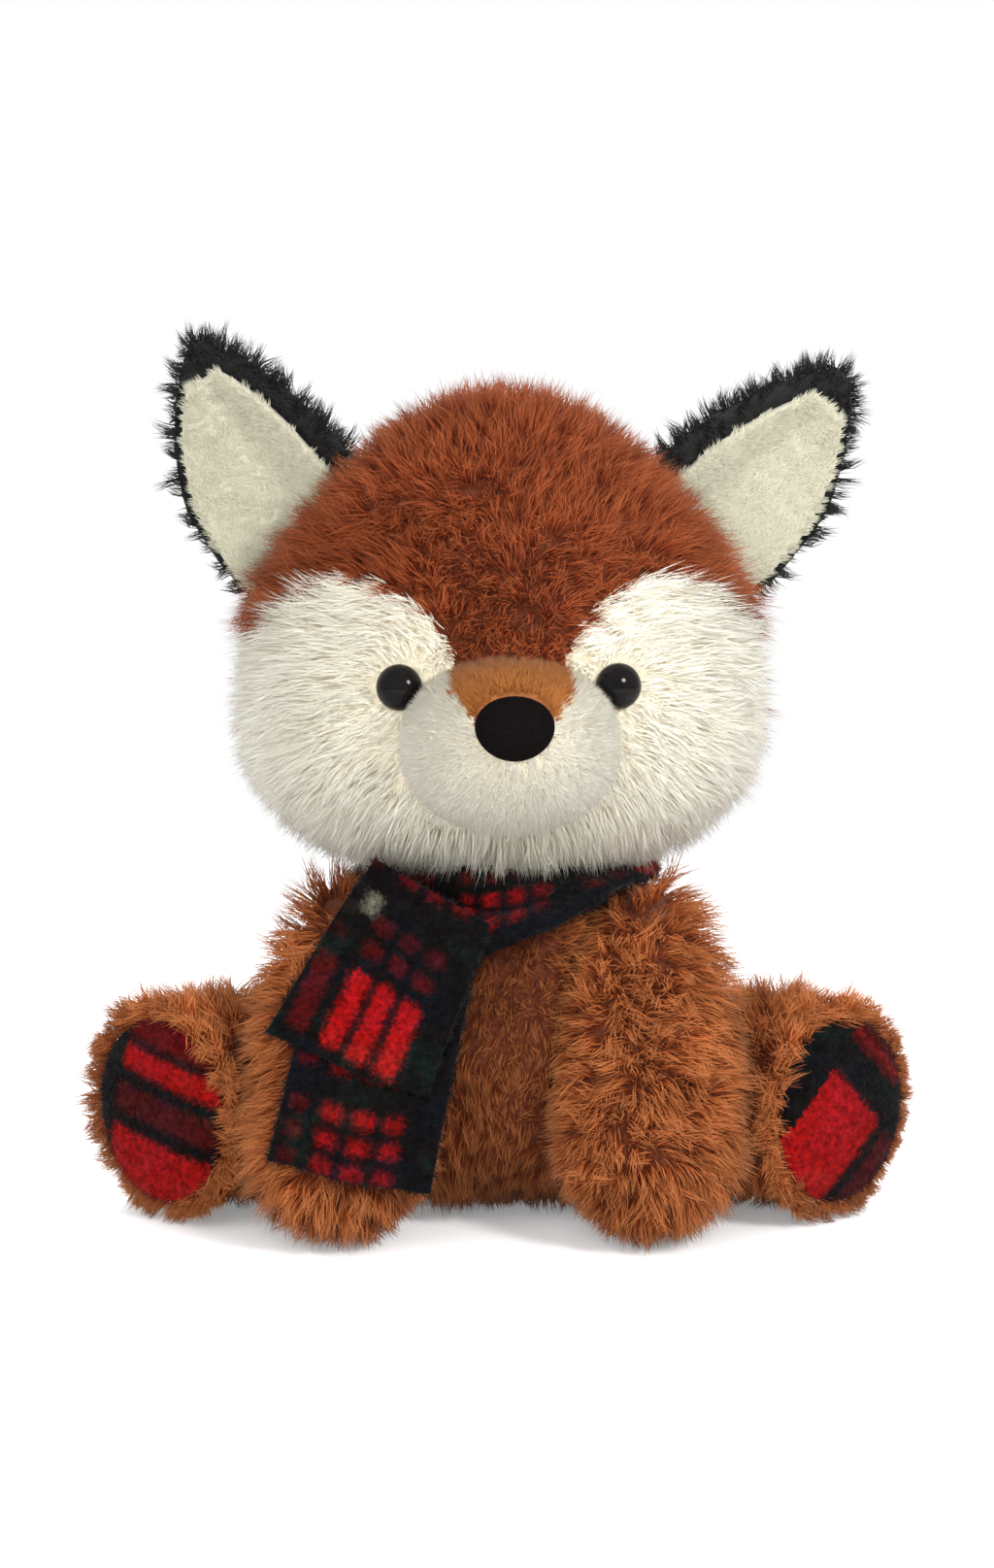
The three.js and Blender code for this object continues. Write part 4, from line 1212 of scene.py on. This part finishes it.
# Arms
# Front legs of rust long pile, each sewn to the body by its open top and standing on its paw.
arm_x = {"left": 37.5, "right": -41}
arm_spacing, limb_drift, arm_behind = 2.88 * MM, 13 * MM, 25 * MM
arm_hair, inner_less, shoulder_more, paw_less = 12.2, 5.0, 2.0, 3.5
shoulder_from, shoulder_blend = 55, 30
paw_level, paw_blend = 18 * MM, 10 * MM
for number, side_name in enumerate(("left", "right")):
    body_name = f"arm_{side_name}"
    arm_shape = {
        "at": (arm_x[side_name], -36, 33), "half_width": 28.5, "half_depth": 25, "up": 66, "down": 33.5,
        "powers": (2, 3.2), "lean": (0, 0.45),
    }
    form = stuffed(body_name + "_filling", arm_shape, long_inset, body_voxel, [body_tree])
    form.data.materials.append(rust_backing)
    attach(form, body_name)
    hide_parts(body_name + "_stuffing")
    places, outward = outside(*scattered(form, arm_spacing, 60 + number), [body_tree], behind=-arm_behind)
    lay = along(outward, 0.55 * down) + 0.8 * along(outward, drift(places, limb_drift, 9 + number))
    inner = np.clip(-np.sign(arm_x[side_name]) * outward[:, 0], 0, 1)
    high = np.clip((places[:, 2] / MM - shoulder_from) / shoulder_blend, 0, 1)
    trodden = np.clip((paw_level - places[:, 2]) / paw_blend, 0, 1)
    length = (arm_hair - inner_less * inner + shoulder_more * high * (1 - inner) - paw_less * trodden) * MM
    length = pressed(places, outward, length)
    pile = grown(body_name + "_pile", body_name, body_pile, places, outward, lay, length, long_hair, 62 + number)
    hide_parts(body_name + "_cover")

# Legs
# Splayed hind legs of rust long pile, each closed by a padded tartan sole.
splay = math.radians(40)
sole_half = (22.5, 25)
sole_dome = 4.0
sole_back = 1.5
sole_prints = {
    "right": {"turned": 13, "spot": (-15.6, -4.4), "print": (9.3, 23.5)},
    "left": {"turned": 135, "spot": (11.4, -4.4), "print": (9.2, 24)},
}
pad_warp = [(0, 0.04), (9, 1.0), (45, 0.04), (51, 0.34), (54.5, 0.62), (56.5, 0.40), (59, 0.04), (60, 0)]
pad_weft = [
    (0, 1.0), (23.5, 0.05), (27.6, 0.36), (35.7, 0.05), (39.7, 0.95), (46.6, 0.12), (48.5, 0.55), (56, 0.05),
    (68, 0),
]
pad_fleece = tartan("tartan_pad_fleece", pad_warp, pad_weft)
rim_tufts = 330
rim_shares = (1.0, 1.16)
rim_back = 3.0
rim_floor = 3.0 * MM
rim_least, rim_most = 7.5, 10.5
leg_x, leg_y, leg_z, leg_from_end = 95, -25, 31, 21
leg_spacing, leg_hair, leg_less = 3.0 * MM, 11.8, 7.8
under_sole_depth = 9 * MM
rim_start, rim_blend = 20 * MM, 12 * MM
seat_level, seat_blend, seat_start, seat_fade = 19 * MM, 11 * MM, 30 * MM, 20 * MM
for number, (side_name, side) in enumerate((("left", 1), ("right", -1))):
    body_name = f"leg_{side_name}"
    out_way = Vector((side * math.sin(splay), -math.cos(splay), 0))
    level_way = Vector((0, 0, 1)).cross(-out_way)
    leg_end = Vector((side * leg_x, leg_y, leg_z))
    leg_shape = {
        "at": leg_end - leg_from_end * out_way, "half_width": 28.5, "half_depth": 31.5, "up": 52, "down": 21,
        "powers": (2.3, 5), "turn": Matrix((level_way, Vector((0, 0, 1)), -out_way)).transposed().to_4x4(),
    }
    form = stuffed(body_name + "_filling", leg_shape, long_inset, body_voxel, [body_tree])
    form.data.materials.append(rust_backing)
    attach(form, body_name)
    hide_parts(body_name + "_stuffing")
    low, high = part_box(body_name + "_sole")
    middle = (low + high) / 2
    places, outward = outside(*scattered(form, leg_spacing, 70 + number), [body_tree], behind=0)
    rel = places - np.array(middle)
    ahead = rel @ np.array(out_way)
    flat = rel - np.outer(ahead, np.array(out_way))
    off = np.hypot(flat[:, 0] / math.cos(splay) / (sole_half[0] * MM), flat[:, 2] / (sole_half[1] * MM))
    under_sole = (ahead > -under_sole_depth) & (off < 0.9)
    places, outward, rel, off, ahead = (x[~under_sole] for x in (places, outward, rel, off, ahead))
    lay = along(outward, 0.2 * np.array([list(out_way)])) + along(outward, 0.2 * down)
    lay += 0.8 * along(outward, drift(places, limb_drift, 12 + number))
    at_rim = np.clip((ahead + rim_start) / rim_blend, 0, 1)[:, None]
    lay = (1 - 0.6 * at_rim) * lay + 0.75 * at_rim * along(outward, np.array([list(out_way)]))
    trodden = np.clip((seat_level - places[:, 2]) / seat_blend, 0, 1)
    trodden *= np.clip((ahead + seat_start) / seat_fade, 0, 1)
    length = (leg_hair - leg_less * trodden) * MM
    rng = np.random.default_rng(74 + number)
    across = np.array(Vector((0, 0, 1)).cross(out_way))
    forward = np.array(out_way)
    upward = np.array([0, 0, 1.0])
    round_rim = rng.uniform(0, 2 * math.pi, rim_tufts)
    ring = rng.uniform(*rim_shares, rim_tufts)
    radial = np.cos(round_rim)[:, None] * across + np.sin(round_rim)[:, None] * upward
    rim = np.cos(round_rim)[:, None] * across * sole_half[0] + np.sin(round_rim)[:, None] * upward * sole_half[1]
    rim = np.array(middle) + (ring[:, None] * rim - rim_back * forward) * MM
    kept = rim[:, 2] > rim_floor
    rim_way = unit(0.75 * radial + 0.75 * forward)[kept]
    over = np.clip(np.sin(round_rim), 0, 1)[kept, None]
    rim_lay = along(rim_way, -0.35 * over * radial[kept] + 0.45 * rng.normal(size=(kept.sum(), 3)))
    outer = np.clip(side * np.cos(round_rim), 0, 1)[kept]
    under = np.clip(-np.sin(round_rim), 0, 1)[kept]
    left_on = 1 - (0.15 if side < 0 else 0.5) * outer - 0.4 * under
    rim_length = rng.uniform(rim_least, rim_most, kept.sum()) * left_on * MM
    places, outward = np.concatenate([places, rim[kept]]), np.concatenate([outward, rim_way])
    lay, length = np.concatenate([lay, rim_lay]), np.concatenate([length, rim_length])
    pile = grown(body_name + "_pile", body_name, body_pile, places, outward, lay, length, long_hair, 72 + number)
    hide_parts(body_name + "_cover")

    bm = bmesh.new()
    bmesh.ops.create_uvsphere(bm, u_segments=64, v_segments=32, radius=1)
    layer = bm.loops.layers.uv.new(cloth_map)
    layout = sole_prints[side_name]
    spin = Matrix.Rotation(math.radians(layout["turned"]), 2)
    shift = Vector(layout["print"]) - spin @ Vector(layout["spot"])
    for face in bm.faces:
        face.smooth = True
        for loop in face.loops:
            flat_spot = spin @ Vector((loop.vert.co.x * sole_half[0], loop.vert.co.y * sole_half[1]))
            loop[layer].uv = flat_spot + shift
    for vert in bm.verts:
        vert.co.z *= sole_dome if vert.co.z > 0 else sole_back
        vert.co.x *= sole_half[0]
        vert.co.y *= sole_half[1]
    across = Vector((0, 0, 1)).cross(out_way)
    turn = Matrix((across, Vector((0, 0, 1)), out_way)).transposed().to_4x4()
    centre_shift = (sole_dome - sole_back) / 2
    at = middle - out_way * centre_shift * MM
    bmesh.ops.transform(bm, matrix=Matrix.Translation(at) @ turn @ Matrix.Scale(MM, 4), verts=bm.verts)
    mesh = meshed(body_name + "_sole_cloth", bm)
    mesh.materials.append(pad_fleece)
    sole = made(body_name + "_sole_cloth", mesh, body_name)
    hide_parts(body_name + "_sole")
    napped(sole, body_name, pad_fleece, 97 + number, lambda places, outward: outward @ forward > 0.1)

# Tail
# Rust long pile with a white tip, lying on the floor behind the seat.
tail_shape = {
    "at": (0, 92, 21.5), "half_width": 24, "half_depth": 22, "up": 54, "down": 44, "powers": (2, 2.4),
    "lean": (-0.2, 0), "turn": Matrix(((1, 0, 0), (0, 0, -1), (0, 1, 0))).to_4x4(),
}
tail_spacing, tail_hair = 2.9 * MM, 11.8 * MM
form = stuffed("tail_filling", tail_shape, long_inset, body_voxel, [body_tree])
form.data.materials.append(rust_backing)
form.data.materials.append(white_backing_painted_shade)
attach(form, "tail")
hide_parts("tail_stuffing")
tip_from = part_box("tail_tip")[0].y
for face in form.data.polygons:
    face.material_index = int(face.center.y > tip_from)
places, outward = outside(*scattered(form, tail_spacing, 80), [body_tree], behind=0)
rearward = np.array([[0, 1.0, 0]])
lay = along(outward, 0.6 * rearward) + 0.6 * along(outward, drift(places, limb_drift, 14))
for number, (name, chosen, material, slot) in enumerate((
    ("tail_cover", places[:, 1] <= tip_from, body_pile, "rust_plush"),
    ("tail_tip", places[:, 1] > tip_from, white_pile, "white_plush"),
)):
    length = np.full(chosen.sum(), tail_hair)
    pile = grown(
        name + "_pile", "tail", material, places[chosen], outward[chosen], lay[chosen], length, long_hair,
        82 + number,
    )
    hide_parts(name)

low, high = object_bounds()
